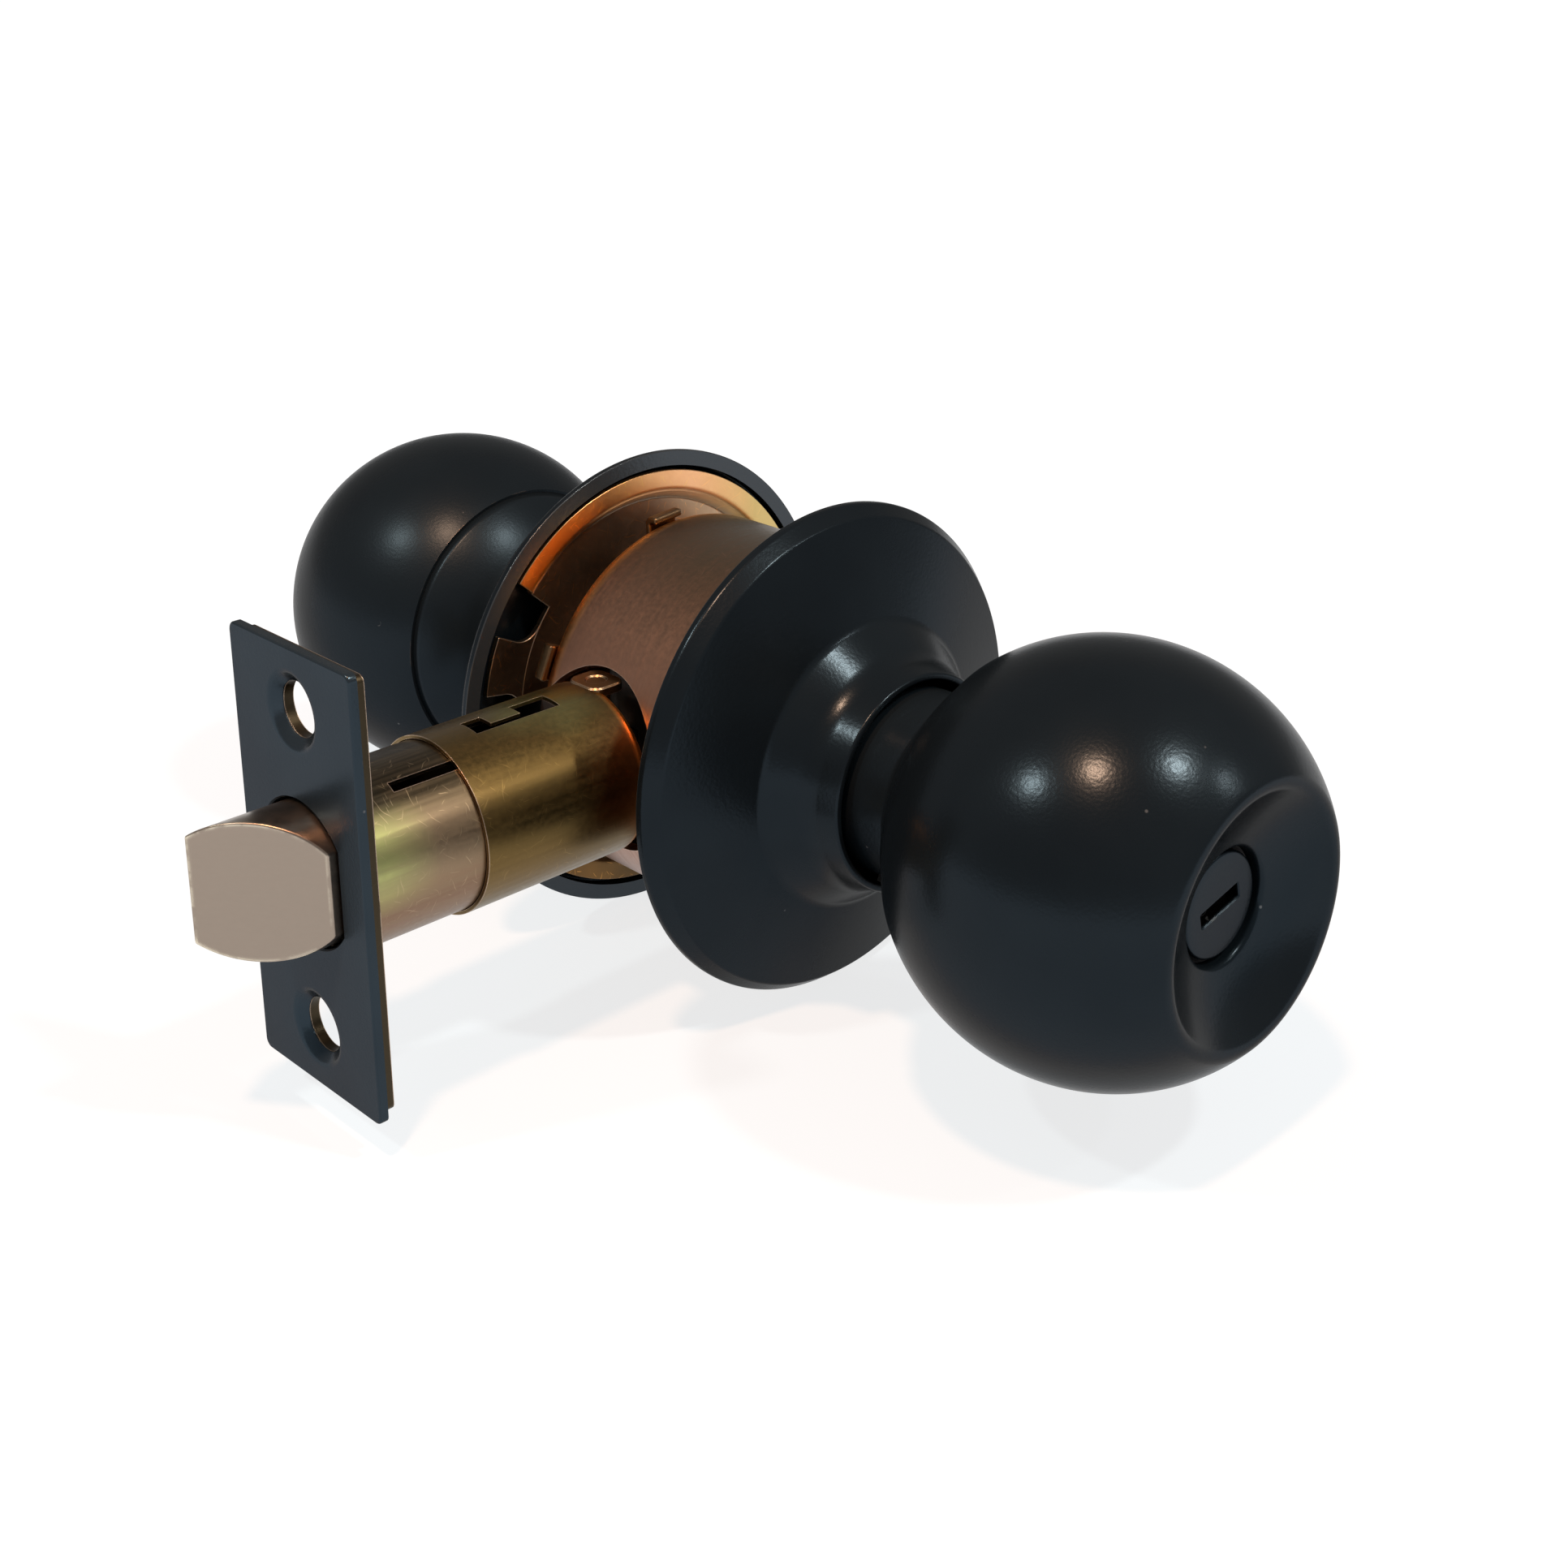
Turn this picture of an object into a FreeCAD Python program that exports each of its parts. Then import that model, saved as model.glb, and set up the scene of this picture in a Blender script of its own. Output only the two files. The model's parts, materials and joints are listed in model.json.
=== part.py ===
import FreeCAD, Part
import math
import os
import Sketcher

# A privacy knob set for a 35 mm door, assembled as it sits in the door but without it.
# Millimetres. The origin is where the knob axis crosses the latch axis, in the middle of the door.
# Y is the knob axis, with the inside knob and its turn button at +Y and the outside knob at -Y.
# The latch points to -X and Z is up. Pieces that both sides share are drawn for the +Y side and
# turned half a turn about Z for the outside.

DIMENSIONS = {
    # Door and housing
    "door_thickness": 35.0,
    "housing_radius": 25.9,
    "housing_wall": 1.2,
    "housing_inside_end": 12.0,
    "housing_corner_radius": 2.5,
    "window_gap": 0.8,
    "window_depth": 11.0,
    "bracket_setback": 3.4,
    "bracket_sheet": 1.0,
    "bracket_ear_width": 5.0,
    "bracket_ear_length": 2.4,
    # Roses
    "rose_radius": 33.5,
    "rose_corner_width": 1.5,
    "rose_rim_depth": 2.9,
    "rose_rim_width": 2.2,
    "flare_radius": 19.3,
    "flare_depth": 7.4,
    "collar_radius": 14.6,
    "collar_depth": 16.2,
    "collar_swell": 0.9,
    "rose_wall": 1.0,
    # Mounting plates
    "plate_rim_gap": 0.7,
    "plate_sheet": 0.9,
    "plate_rose_gap": 0.61,
    "plate_floor_gap": 0.5,
    "ear_setback": 2.0,
    "ear_start_angle": 154.0,
    "ear_end_angle": 171.0,
    "rim_end_angle": 139.0,
    "notch_depth": 4.0,
    "clip_width": 4.0,
    "screw_circle_radius": 15.8,
    "screw_radius": 2.0,
    "screw_head_radius": 3.3,
    "screw_head_height": 2.1,
    # Knobs
    "ball_radius": 26.8,
    "ball_from_bar_end": 10.5,
    "seam_offset": 16.0,
    "seam_step": 0.3,
    "knob_wall": 0.9,
    "dish_radius": 16.0,
    "dish_depth": 5.8,
    "dish_edge_radius": 1.6,
    "disc_hole_radius": 7.1,
    "disc_hole_depth": 1.7,
    "disc_hole_edge_radius": 0.8,
    "neck_radius": 12.5,
    "neck_wall": 0.9,
    "neck_end": 30.5,
    "neck_blend": 1.7,
    "back_start_radius": 14.5,
    "tongue_length": 3.0,
    "insert_thickness": 3.0,
    # Spindles and cams
    "spindle_wall": 1.2,
    "spindle_inner_end": 5.0,
    "spindle_outer_end": 45.0,
    "wing_tip_radius": 15.5,
    "wing_thickness": 3.0,
    "wing_width": 3.0,
    "catch_tilt": 30.0,
    "catch_place": 36.6,
    "catch_width": 3.4,
    "catch_length": 4.6,
    "catch_foot_width": 7.0,
    "catch_foot_length": 6.6,
    "catch_foot_thickness": 0.9,
    "catch_stand_out": 0.7,
    # Retractor
    "bolt_throw": 12.0,
    "retractor_setback": 2.8,
    "retractor_rear": 4.0,
    "retractor_height": 23.2,
    "retractor_thickness": 8.4,
    "arm_top": 16.0,
    "arm_start": 12.0,
    "arm_end": 6.0,
    "arm_overlap": 1.0,
    "cam_slack": 1.8,
    "spring_spacing": 16.0,
    "spring_radius": 2.6,
    "spring_wire": 0.7,
    "spring_turns": 8.0,
    "seat_setback": 4.2,
    "seat_thickness": 1.0,
    # Turn bar, button and release disc
    "turn_rest_angle": 13.0,
    "turn_bar_width": 5.0,
    "turn_bar_thickness": 1.6,
    "turn_bar_half_length": 74.0,
    "disc_radius": 6.5,
    "disc_from_bar_end": 5.6,
    "disc_thickness": 2.0,
    "disc_slot_length": 7.2,
    "disc_slot_width": 1.5,
    "disc_slot_depth": 1.2,
    "stem_radius": 3.6,
    "stem_length": 9.0,
    "grip_width": 14.0,
    "grip_thickness": 4.4,
    "grip_height": 12.0,
    "grip_corner_radius": 2.0,
    "lock_cam_radius": 9.4,
    "lock_cam_width": 9.0,
    "lock_cam_thickness": 3.0,
    "lock_cam_place": 10.0,
    # Latch
    "backset": 70.0,
    "faceplate_width": 25.4,
    "faceplate_height": 57.15,
    "faceplate_thickness": 1.2,
    "faceplate_corner_radius": 1.0,
    "backing_thickness": 1.4,
    "backing_inset": 0.8,
    "screw_spacing": 41.3,
    "screw_hole_radius": 3.5,
    "countersink_radius": 4.6,
    "countersink_depth": 1.1,
    "bolt_radius": 9.0,
    "bolt_half_width": 7.3,
    "bolt_length": 22.0,
    "bolt_nose_width": 1.6,
    "bolt_nose_depth": 2.0,
    "bevel_start": 1.0,
    "bolt_clearance": 0.4,
    "sleeve_radius": 11.0,
    "sleeve_wall": 0.6,
    "sleeve_length": 28.0,
    "sleeve_slot_start": 9.5,
    "sleeve_slot_width": 1.3,
    "sleeve_slot_angle": 27.0,
    "tube_wall": 0.5,
    "tube_mouth": 18.5,
    "tube_entry": 0.6,
    "tube_end_wall": 0.8,
    "tube_end_corner": 1.8,
    "tube_end_hole_radius": 6.8,
    "prong_width": 6.0,
    "prong_reach": 3.2,
    "prong_thickness": 1.2,
    "bayonet_front_start": 24.2,
    "bayonet_front_end": 27.1,
    "bayonet_rear_start": 31.7,
    "bayonet_rear_end": 37.1,
    "bayonet_width": 3.4,
    "bayonet_offset": 0.7,
    "bayonet_slit_width": 1.0,
    "bayonet_margin": 0.5,
    "tail_height": 6.0,
    "tail_thickness": 2.0,
    "tail_insert": 4.0,
    "tail_head_height": 13.0,
    "tail_head_length": 2.0,
    "tail_head_cover": 3.8,
    "pin_radius": 1.2,
    "guide_setback": 5.7,
    "guide_thickness": 2.0,
    "bolt_spring_radius": 5.4,
    "bolt_spring_wire": 0.9,
    "bolt_spring_turns": 7.0,
    # Fits
    "running_gap": 0.08,
    "close_gap": 0.05,
    "slide_gap": 0.3,
}

doc = FreeCAD.newDocument("PrivacyKnobSet")
sheet = doc.addObject("Spreadsheet::Sheet", "Sizes")
for row, (alias, number) in enumerate(DIMENSIONS.items(), start=1):
    sheet.set(f"A{row}", alias)
    sheet.set(f"B{row}", str(number))
    sheet.setAlias(f"B{row}", alias)
doc.recompute()


# Sizes: a number together with the formula on the sheet that gives it

class Size:
    def __init__(self, value, text):
        self.value = value
        self.text = text

    def __add__(self, other):
        other = as_size(other)
        return Size(self.value + other.value, f"({self.text} + {other.text})")

    def __radd__(self, other):
        return as_size(other) + self

    def __sub__(self, other):
        other = as_size(other)
        return Size(self.value - other.value, f"({self.text} - {other.text})")

    def __rsub__(self, other):
        return as_size(other) - self

    def __mul__(self, other):
        other = as_size(other)
        return Size(self.value * other.value, f"({self.text} * {other.text})")

    def __rmul__(self, other):
        return as_size(other) * self

    def __truediv__(self, other):
        other = as_size(other)
        return Size(self.value / other.value, f"({self.text} / {other.text})")

    def __neg__(self):
        return Size(-self.value, f"(0 - {self.text})")


def as_size(number):
    if isinstance(number, Size):
        return number
    return Size(float(number), repr(float(number)))


def root(size):
    return Size(math.sqrt(size.value), f"sqrt({size.text})")


def leg(hypotenuse, side):
    """The other short side of a right-angled triangle."""
    return root(hypotenuse * hypotenuse - side * side)


def sheet_size(alias):
    return Size(float(sheet.get(alias)), f"Sizes.{alias}")


S = {alias: sheet_size(alias) for alias in DIMENSIONS}


# Sketches, bound point by point to the sheet

def bind(sketch, kind, items, size):
    """A dimension of the sketch, tied to its formula."""
    index = sketch.addConstraint(Sketcher.Constraint(kind, *items, size.value))
    sketch.setExpression(f"Constraints[{index}]", size.text)


def pin_point(sketch, shape, end, x, y):
    """Hold one point of a sketch at its place from the sketch's origin."""
    for kind, size, axis in (("DistanceX", as_size(x), -2), ("DistanceY", as_size(y), -1)):
        if size.value == 0:
            sketch.addConstraint(Sketcher.Constraint("PointOnObject", shape, end, axis))
        else:
            bind(sketch, kind, (shape, end), size)


def vector(point):
    return FreeCAD.Vector(as_size(point[0]).value, as_size(point[1]).value, 0)


def arc_between(start, end, radius, turn):
    """A minor arc between two points; turn is +1 where the centre lies to the left of the way."""
    half = (end - start) * 0.5
    reach = math.sqrt(max(radius * radius - half.Length ** 2, 0))
    left = FreeCAD.Vector(-half.y, half.x, 0).normalize()
    centre = start + half + left * (reach * turn)
    first, last = (start, end) if turn > 0 else (end, start)
    angles = [math.atan2((p - centre).y, (p - centre).x) for p in (first, last)]
    circle = Part.Circle(centre, FreeCAD.Vector(0, 0, 1), radius)
    return Part.ArcOfCircle(circle, angles[0], angles[1])


def outline(sketch, corners):
    """A closed outline. Each corner is (x, y), with "round": a radius between two straight runs,
    or "arc": (radius, turn) for the run that leaves it."""
    count = len(corners)
    spots = [vector(corner) for corner in corners]
    options = [corner[2] if len(corner) > 2 else {} for corner in corners]
    leave = []
    arrive = []
    for index, option in enumerate(options):
        spot = spots[index]
        if "round" not in option:
            leave.append(spot)
            arrive.append(spot)
            continue
        back = (spots[index - 1] - spot).normalize()
        ahead = (spots[(index + 1) % count] - spot).normalize()
        reach = as_size(option["round"]).value / math.tan(back.getAngle(ahead) / 2)
        arrive.append(spot + back * reach)
        leave.append(spot + ahead * reach)
    runs = []
    for index, option in enumerate(options):
        start, end = leave[index], arrive[(index + 1) % count]
        if "arc" in option:
            radius, turn = option["arc"]
            shape = arc_between(start, end, as_size(radius).value, turn)
            ends = (1, 2) if turn > 0 else (2, 1)
        else:
            shape = Part.LineSegment(start, end)
            ends = (1, 2)
        runs.append((sketch.addGeometry(shape, False), ends))
        if "arc" in option:
            bind(sketch, "Radius", (runs[-1][0],), as_size(option["arc"][0]))
    for index, option in enumerate(options):
        before, before_ends = runs[index - 1]
        after, after_ends = runs[index]
        x, y = corners[index][:2]
        if "round" not in option:
            sketch.addConstraint(
                Sketcher.Constraint("Coincident", before, before_ends[1], after, after_ends[0])
            )
            pin_point(sketch, after, after_ends[0], x, y)
            continue
        incoming = spots[index] - spots[index - 1]
        outgoing = spots[(index + 1) % count] - spots[index]
        turn = 1 if incoming.cross(outgoing).z > 0 else -1
        radius = as_size(option["round"])
        bend = sketch.addGeometry(arc_between(arrive[index], leave[index], radius.value, turn), False)
        ends = (1, 2) if turn > 0 else (2, 1)
        sketch.addConstraint(Sketcher.Constraint("Tangent", before, before_ends[1], bend, ends[0]))
        sketch.addConstraint(Sketcher.Constraint("Tangent", bend, ends[1], after, after_ends[0]))
        bind(sketch, "Radius", (bend,), radius)
        tip = sketch.addGeometry(Part.Point(spots[index]), True)
        sketch.addConstraint(Sketcher.Constraint("PointOnObject", tip, 1, before))
        sketch.addConstraint(Sketcher.Constraint("PointOnObject", tip, 1, after))
        pin_point(sketch, tip, 1, x, y)


def circle(sketch, x, y, radius):
    radius = as_size(radius)
    shape = Part.Circle(vector((x, y)), FreeCAD.Vector(0, 0, 1), radius.value)
    index = sketch.addGeometry(shape, False)
    pin_point(sketch, index, 3, x, y)
    bind(sketch, "Radius", (index,), radius)


def rectangle(sketch, x_low, x_high, y_low, y_high):
    outline(sketch, [(x_low, y_low), (x_high, y_low), (x_high, y_high), (x_low, y_high)])


# Bodies and features

parts = []


def new_body(label, own_node=True):
    body = doc.addObject("PartDesign::Body", label)
    body.Label = label
    if own_node:
        parts.append(body)
    return body


def new_group(label, bodies):
    """Like pieces that share one node, kept as separate solids."""
    group = doc.addObject("Part::Compound", label)
    group.Label = label
    group.Links = bodies
    parts.append(group)
    return group


def new_sketch(body, role, lift=0, tilt=None):
    """A sketch on one of the body's planes, moved along the plane's normal by lift,
    with the plane first tilted about Y by tilt (for the XY plane)."""
    sketch = body.newObject("Sketcher::SketchObject", body.Name + "_sketch")
    planes = {plane.Role: plane for plane in body.Origin.OriginFeatures}
    sketch.AttachmentSupport = [(planes[role], "")]
    sketch.MapMode = "FlatFace"
    lift = as_size(lift)
    turn = FreeCAD.Rotation()
    if tilt is not None:
        turn = FreeCAD.Rotation(FreeCAD.Vector(0, 1, 0), tilt.value)
    place = turn.multVec(FreeCAD.Vector(0, 0, lift.value))
    sketch.AttachmentOffset = FreeCAD.Placement(place, turn)
    if tilt is None:
        sketch.setExpression("AttachmentOffset.Base.z", lift.text)
    else:
        sketch.setExpression("AttachmentOffset.Rotation.Angle", tilt.text)
    return sketch


def volume_of(body):
    doc.recompute()
    shape = body.Shape
    return 0.0 if shape.isNull() else shape.Volume


def finish_feature(body, feature, before, cuts):
    body.Tip = feature
    after = volume_of(body)
    if (cuts and after > before - 1e-4) or (not cuts and after < before + 1e-4):
        raise RuntimeError(f"{feature.Label} of {body.Label} changes nothing")
    return feature


def revolve(body, sketch, cuts=False):
    """Turn the sketch about its vertical axis."""
    before = volume_of(body)
    kind = "PartDesign::Groove" if cuts else "PartDesign::Revolution"
    feature = body.newObject(kind, body.Name + ("_groove" if cuts else "_turned"))
    feature.Profile = sketch
    feature.ReferenceAxis = (sketch, ["V_Axis"])
    feature.Angle = 360
    return finish_feature(body, feature, before, cuts)


def extrude(body, sketch, length, cuts=False, both=False, back=False):
    """Pad along the sketch's normal, or pocket against it; back turns the way round."""
    before = volume_of(body)
    kind = "PartDesign::Pocket" if cuts else "PartDesign::Pad"
    feature = body.newObject(kind, body.Name + ("_pocket" if cuts else "_pad"))
    feature.Profile = sketch
    feature.Length = as_size(length).value
    feature.setExpression("Length", as_size(length).text)
    feature.Midplane = both
    feature.Reversed = back
    return finish_feature(body, feature, before, cuts)


def round_edges(body, choose, radius):
    """A fillet on the edges that choose picks out."""
    base = body.Tip
    names = [f"Edge{n}" for n, edge in enumerate(base.Shape.Edges, start=1) if choose(edge)]
    feature = body.newObject("PartDesign::Fillet", body.Name + "_fillet")
    feature.Base = (base, names)
    feature.Radius = as_size(radius).value
    feature.setExpression("Radius", as_size(radius).text)
    body.Tip = feature
    doc.recompute()
    return feature


def ring_edge(radius, height):
    """Picks the circle about Y with this radius at this height."""
    def choose(edge):
        curve = edge.Curve
        if not isinstance(curve, Part.Circle):
            return False
        same_radius = abs(curve.Radius - radius.value) < 0.01
        return same_radius and abs(curve.Center.y - height.value) < 0.01
    return choose


HALF_TURN = FreeCAD.Rotation(FreeCAD.Vector(0, 0, 1), 180)
NO_TURN = FreeCAD.Rotation()


def put(body, rotation):
    body.Placement = FreeCAD.Placement(FreeCAD.Vector(0, 0, 0), rotation)


def about_y(angle):
    return FreeCAD.Rotation(FreeCAD.Vector(0, 1, 0), angle)


SIDES = {"inside": NO_TURN, "outside": HALF_TURN}


# Sizes that several pieces share

HALF_DOOR = S["door_thickness"] / 2
HOUSING_INSIDE = S["housing_radius"] - S["housing_wall"]
SPINDLE_RADIUS = S["neck_radius"] - S["neck_wall"] - S["close_gap"]
SPINDLE_BORE = SPINDLE_RADIUS - S["spindle_wall"]
BEARING_RADIUS = SPINDLE_RADIUS + S["running_gap"]

# The roses, and the mounting plates that fill their backs

ROSE_MOUTH = S["rose_radius"] - S["rose_rim_width"]
ROSE_RIM_UNDER = S["rose_rim_depth"] - S["rose_wall"]
FLARE_INSIDE = S["flare_radius"] - S["rose_wall"] * 0.7
FLARE_UNDER = S["flare_depth"] - S["rose_wall"]
PLATE_RADIUS = ROSE_MOUTH - S["plate_rim_gap"]
PLATE_FLOOR_RADIUS = S["housing_radius"] + S["plate_floor_gap"]
PLATE_BEND = S["plate_sheet"] * 0.4
ROSE_UNDER_SLOPE = (FLARE_UNDER - ROSE_RIM_UNDER) / (ROSE_MOUTH - FLARE_INSIDE)
ROSE_OVER_PLATE = ROSE_RIM_UNDER + (ROSE_MOUTH - PLATE_FLOOR_RADIUS - PLATE_BEND) * ROSE_UNDER_SLOPE
PLATE_RIM = HALF_DOOR + S["plate_sheet"] / 5
PLATE_FLOOR = HALF_DOOR + ROSE_OVER_PLATE - S["plate_rose_gap"] - S["plate_sheet"]

# The latch and what it enters

TUBE_RADIUS = S["sleeve_radius"] + S["running_gap"] + S["tube_wall"]
FACE_FRONT = -S["backset"]
FACE_BACK = FACE_FRONT + S["faceplate_thickness"]
BACKING_BACK = FACE_BACK + S["backing_thickness"]
TUBE_END = -S["housing_radius"] + S["tube_entry"]
GUIDE_PLACE = TUBE_END - S["guide_setback"]
BOLT_REAR = FACE_FRONT - S["bolt_throw"] + S["bolt_length"]
RETRACTOR_FRONT = leg(HOUSING_INSIDE, S["retractor_height"] / 2) - S["retractor_setback"]
TAIL_HEAD = RETRACTOR_FRONT - S["tail_head_cover"]
SEAT_PLACE = HOUSING_INSIDE - S["seat_setback"]

# The knobs, placed from the ends of the turn bar

BALL_CENTRE = S["turn_bar_half_length"] - S["ball_from_bar_end"]
DISC_FACE = S["turn_bar_half_length"] + S["disc_from_bar_end"]
SEAM = BALL_CENTRE - S["seam_offset"]
DISH_SPHERE = (S["dish_radius"] * S["dish_radius"] + S["dish_depth"] * S["dish_depth"]) / (
    S["dish_depth"] * 2
)
DISH_RIM = BALL_CENTRE + leg(S["ball_radius"], S["dish_radius"])
DISH_CENTRE = DISH_RIM - S["dish_depth"] + DISH_SPHERE
INSERT_FACE = DISC_FACE - S["disc_thickness"] - S["slide_gap"]
HOLE_TOP = DISH_CENTRE - leg(DISH_SPHERE, S["disc_hole_radius"])
HOLE_FOOT = HOLE_TOP - S["disc_hole_depth"]


# Roses

def make_rose(side):
    body = new_body(f"{side}_rose")
    sketch = new_sketch(body, "XY_Plane")
    wall = S["rose_wall"]
    mouth = S["collar_radius"] - wall
    face = S["rose_radius"] - S["rose_corner_width"]
    swell = S["collar_swell"]
    swell_depth = (S["flare_depth"] + S["collar_depth"]) / 2
    outline(sketch, [
        (ROSE_MOUTH, HALF_DOOR),
        (S["rose_radius"], HALF_DOOR),
        (S["rose_radius"], HALF_DOOR + S["rose_rim_depth"] / 2, {"round": wall}),
        (face, HALF_DOOR + S["rose_rim_depth"], {"round": wall * 0.8}),
        (S["flare_radius"], HALF_DOOR + S["flare_depth"], {"round": wall * 2.5}),
        (S["collar_radius"] + swell, HALF_DOOR + swell_depth, {"round": wall * 6}),
        (S["collar_radius"], HALF_DOOR + S["collar_depth"], {"round": wall * 0.5}),
        (mouth, HALF_DOOR + S["collar_depth"], {"round": wall * 0.4}),
        (mouth + swell, HALF_DOOR + swell_depth - wall * 0.4, {"round": wall * 5}),
        (FLARE_INSIDE, HALF_DOOR + FLARE_UNDER, {"round": wall * 1.5}),
        (ROSE_MOUTH, HALF_DOOR + ROSE_RIM_UNDER),
    ])
    revolve(body, sketch)
    put(body, SIDES[side])


# Knobs: a front shell crimped over a back shell that carries the neck

def make_knob_shell(side):
    body = new_body(f"{side}_knob_shell")
    sketch = new_sketch(body, "XY_Plane")
    ball = S["ball_radius"]
    wall = S["knob_wall"]
    centre = BALL_CENTRE
    hole = S["disc_hole_radius"]
    gap = DISH_CENTRE - centre
    inner_ball = ball - wall
    inner_dish = DISH_SPHERE + wall
    inner_rise = (gap * gap + inner_ball * inner_ball - inner_dish * inner_dish) / (gap * 2)
    outline(sketch, [
        (leg(ball, S["seam_offset"]), SEAM, {"arc": (ball, 1)}),
        (S["dish_radius"], DISH_RIM, {"arc": (DISH_SPHERE, -1)}),
        (hole, HOLE_TOP),
        (hole, HOLE_FOOT),
        (hole + wall, HOLE_FOOT),
        (hole + wall, DISH_CENTRE - leg(inner_dish, hole + wall), {"arc": (inner_dish, 1)}),
        (leg(inner_ball, inner_rise), centre + inner_rise, {"arc": (inner_ball, -1)}),
        (leg(inner_ball, S["seam_offset"]), SEAM),
    ])
    revolve(body, sketch)
    round_edges(body, ring_edge(S["dish_radius"], DISH_RIM), S["dish_edge_radius"])
    round_edges(body, ring_edge(hole, HOLE_TOP), S["disc_hole_edge_radius"])
    put(body, SIDES[side])


def make_knob_back(side):
    body = new_body(f"{side}_knob_back")
    sketch = new_sketch(body, "XY_Plane")
    wall = S["knob_wall"]
    centre = BALL_CENTRE
    ball = S["ball_radius"] - S["seam_step"]
    inner = ball - wall
    start = S["back_start_radius"]
    back = centre - leg(ball, start)
    tongue = leg(S["ball_radius"] - wall, S["seam_offset"]) - S["close_gap"]
    tongue_inside = tongue - wall
    neck = S["neck_radius"]
    bore = neck - S["neck_wall"]
    outline(sketch, [
        (neck, S["neck_end"]),
        (neck, back - S["neck_blend"], {"round": wall * 1.6}),
        (start, back, {"arc": (ball, 1)}),
        (leg(ball, S["seam_offset"]), SEAM),
        (tongue, SEAM),
        (tongue, SEAM + S["tongue_length"]),
        (tongue_inside, SEAM + S["tongue_length"]),
        (tongue_inside, centre - leg(inner, tongue_inside), {"arc": (inner, -1)}),
        (start - wall, centre - leg(inner, start - wall)),
        (bore, back - S["neck_blend"] + wall * 0.6),
        (bore, S["neck_end"]),
    ])
    revolve(body, sketch)
    hole = new_sketch(body, "XY_Plane", tilt=-S["catch_tilt"])
    cut_catch_hole(body, hole)
    put(body, SIDES[side])


def cut_catch_hole(body, sketch):
    """A window for the knob catch, through the wall on the catch's side only."""
    half_width = S["catch_width"] / 2 + S["slide_gap"]
    half_length = S["catch_length"] / 2 + S["slide_gap"]
    place = S["catch_place"]
    rectangle(sketch, -half_width, half_width, place - half_length, place + half_length)
    extrude(body, sketch, S["neck_radius"] * 2, cuts=True)


def make_knob_insert(side):
    """A plastic cup clipped over the turned-in edge of the disc hole, which guides the stem."""
    body = new_body(f"{side}_knob_insert")
    sketch = new_sketch(body, "XY_Plane")
    bore = S["stem_radius"] + S["slide_gap"]
    hole = S["disc_hole_radius"]
    lip = hole + S["knob_wall"] + S["close_gap"]
    outer = lip + S["knob_wall"]
    seat = HOLE_FOOT - S["close_gap"]
    top = HOLE_FOOT + S["disc_hole_depth"] / 2
    outline(sketch, [
        (bore, INSERT_FACE - S["insert_thickness"]),
        (outer, INSERT_FACE - S["insert_thickness"]),
        (outer, top),
        (lip, top),
        (lip, seat),
        (hole, seat),
        (hole, INSERT_FACE),
        (bore, INSERT_FACE),
    ])
    revolve(body, sketch)
    put(body, SIDES[side])


# Spindles with their cam wings, and the knob catches

def make_spindle(side):
    body = new_body(f"{side}_spindle")
    sketch = new_sketch(body, "XY_Plane")
    rectangle(sketch, SPINDLE_BORE, SPINDLE_RADIUS, S["spindle_inner_end"], S["spindle_outer_end"])
    revolve(body, sketch)
    for way in (1, -1):
        wing = new_sketch(body, "XZ_Plane", lift=-S["spindle_inner_end"])
        half = S["wing_thickness"] / 2
        root_height = SPINDLE_RADIUS - S["spindle_wall"] / 2
        rectangle(wing, -half, half, root_height * way, S["wing_tip_radius"] * way)
        extrude(body, wing, S["wing_width"], back=True)
    hole = new_sketch(body, "XY_Plane", tilt=-S["catch_tilt"])
    cut_catch_hole(body, hole)
    put(body, SIDES[side])


CATCH_TIP = S["neck_radius"] + S["catch_stand_out"]
CATCH_FOOT_TOP = leg(SPINDLE_BORE - S["slide_gap"], S["catch_foot_width"] / 2)
CATCH_FOOT_BASE = CATCH_FOOT_TOP - S["catch_foot_thickness"]


def make_catch(side):
    """A stud on a foot, drawn pointing down and then tilted to its hole."""
    body = new_body(f"{side}_knob_catch")
    place = S["catch_place"]
    stud = new_sketch(body, "XY_Plane", lift=-CATCH_TIP)
    half_width = S["catch_width"] / 2
    half_length = S["catch_length"] / 2
    rectangle(stud, -half_width, half_width, place - half_length, place + half_length)
    extrude(body, stud, CATCH_TIP - CATCH_FOOT_TOP)
    foot = new_sketch(body, "XY_Plane", lift=-CATCH_FOOT_TOP)
    half_width = S["catch_foot_width"] / 2
    half_length = S["catch_foot_length"] / 2
    rectangle(foot, -half_width, half_width, place - half_length, place + half_length)
    extrude(body, foot, S["catch_foot_thickness"])
    put(body, SIDES[side] * about_y(-S["catch_tilt"].value))


def make_coil(label, outer_radius, wire, turns, length, own_node=True):
    """A helical spring along Z from the body's origin, with its wire inside outer_radius and length."""
    body = new_body(label, own_node)
    sketch = new_sketch(body, "XZ_Plane")
    circle(sketch, outer_radius - wire / 2, wire / 2, wire / 2)
    coil = body.newObject("PartDesign::AdditiveHelix", label + "_coil")
    coil.Profile = sketch
    coil.ReferenceAxis = (sketch, ["V_Axis"])
    coil.Mode = "height-turns-angle"
    height = length - wire
    coil.Height = height.value
    coil.Turns = turns.value
    coil.setExpression("Height", height.text)
    coil.setExpression("Turns", turns.text)
    body.Tip = coil
    doc.recompute()
    return body


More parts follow.
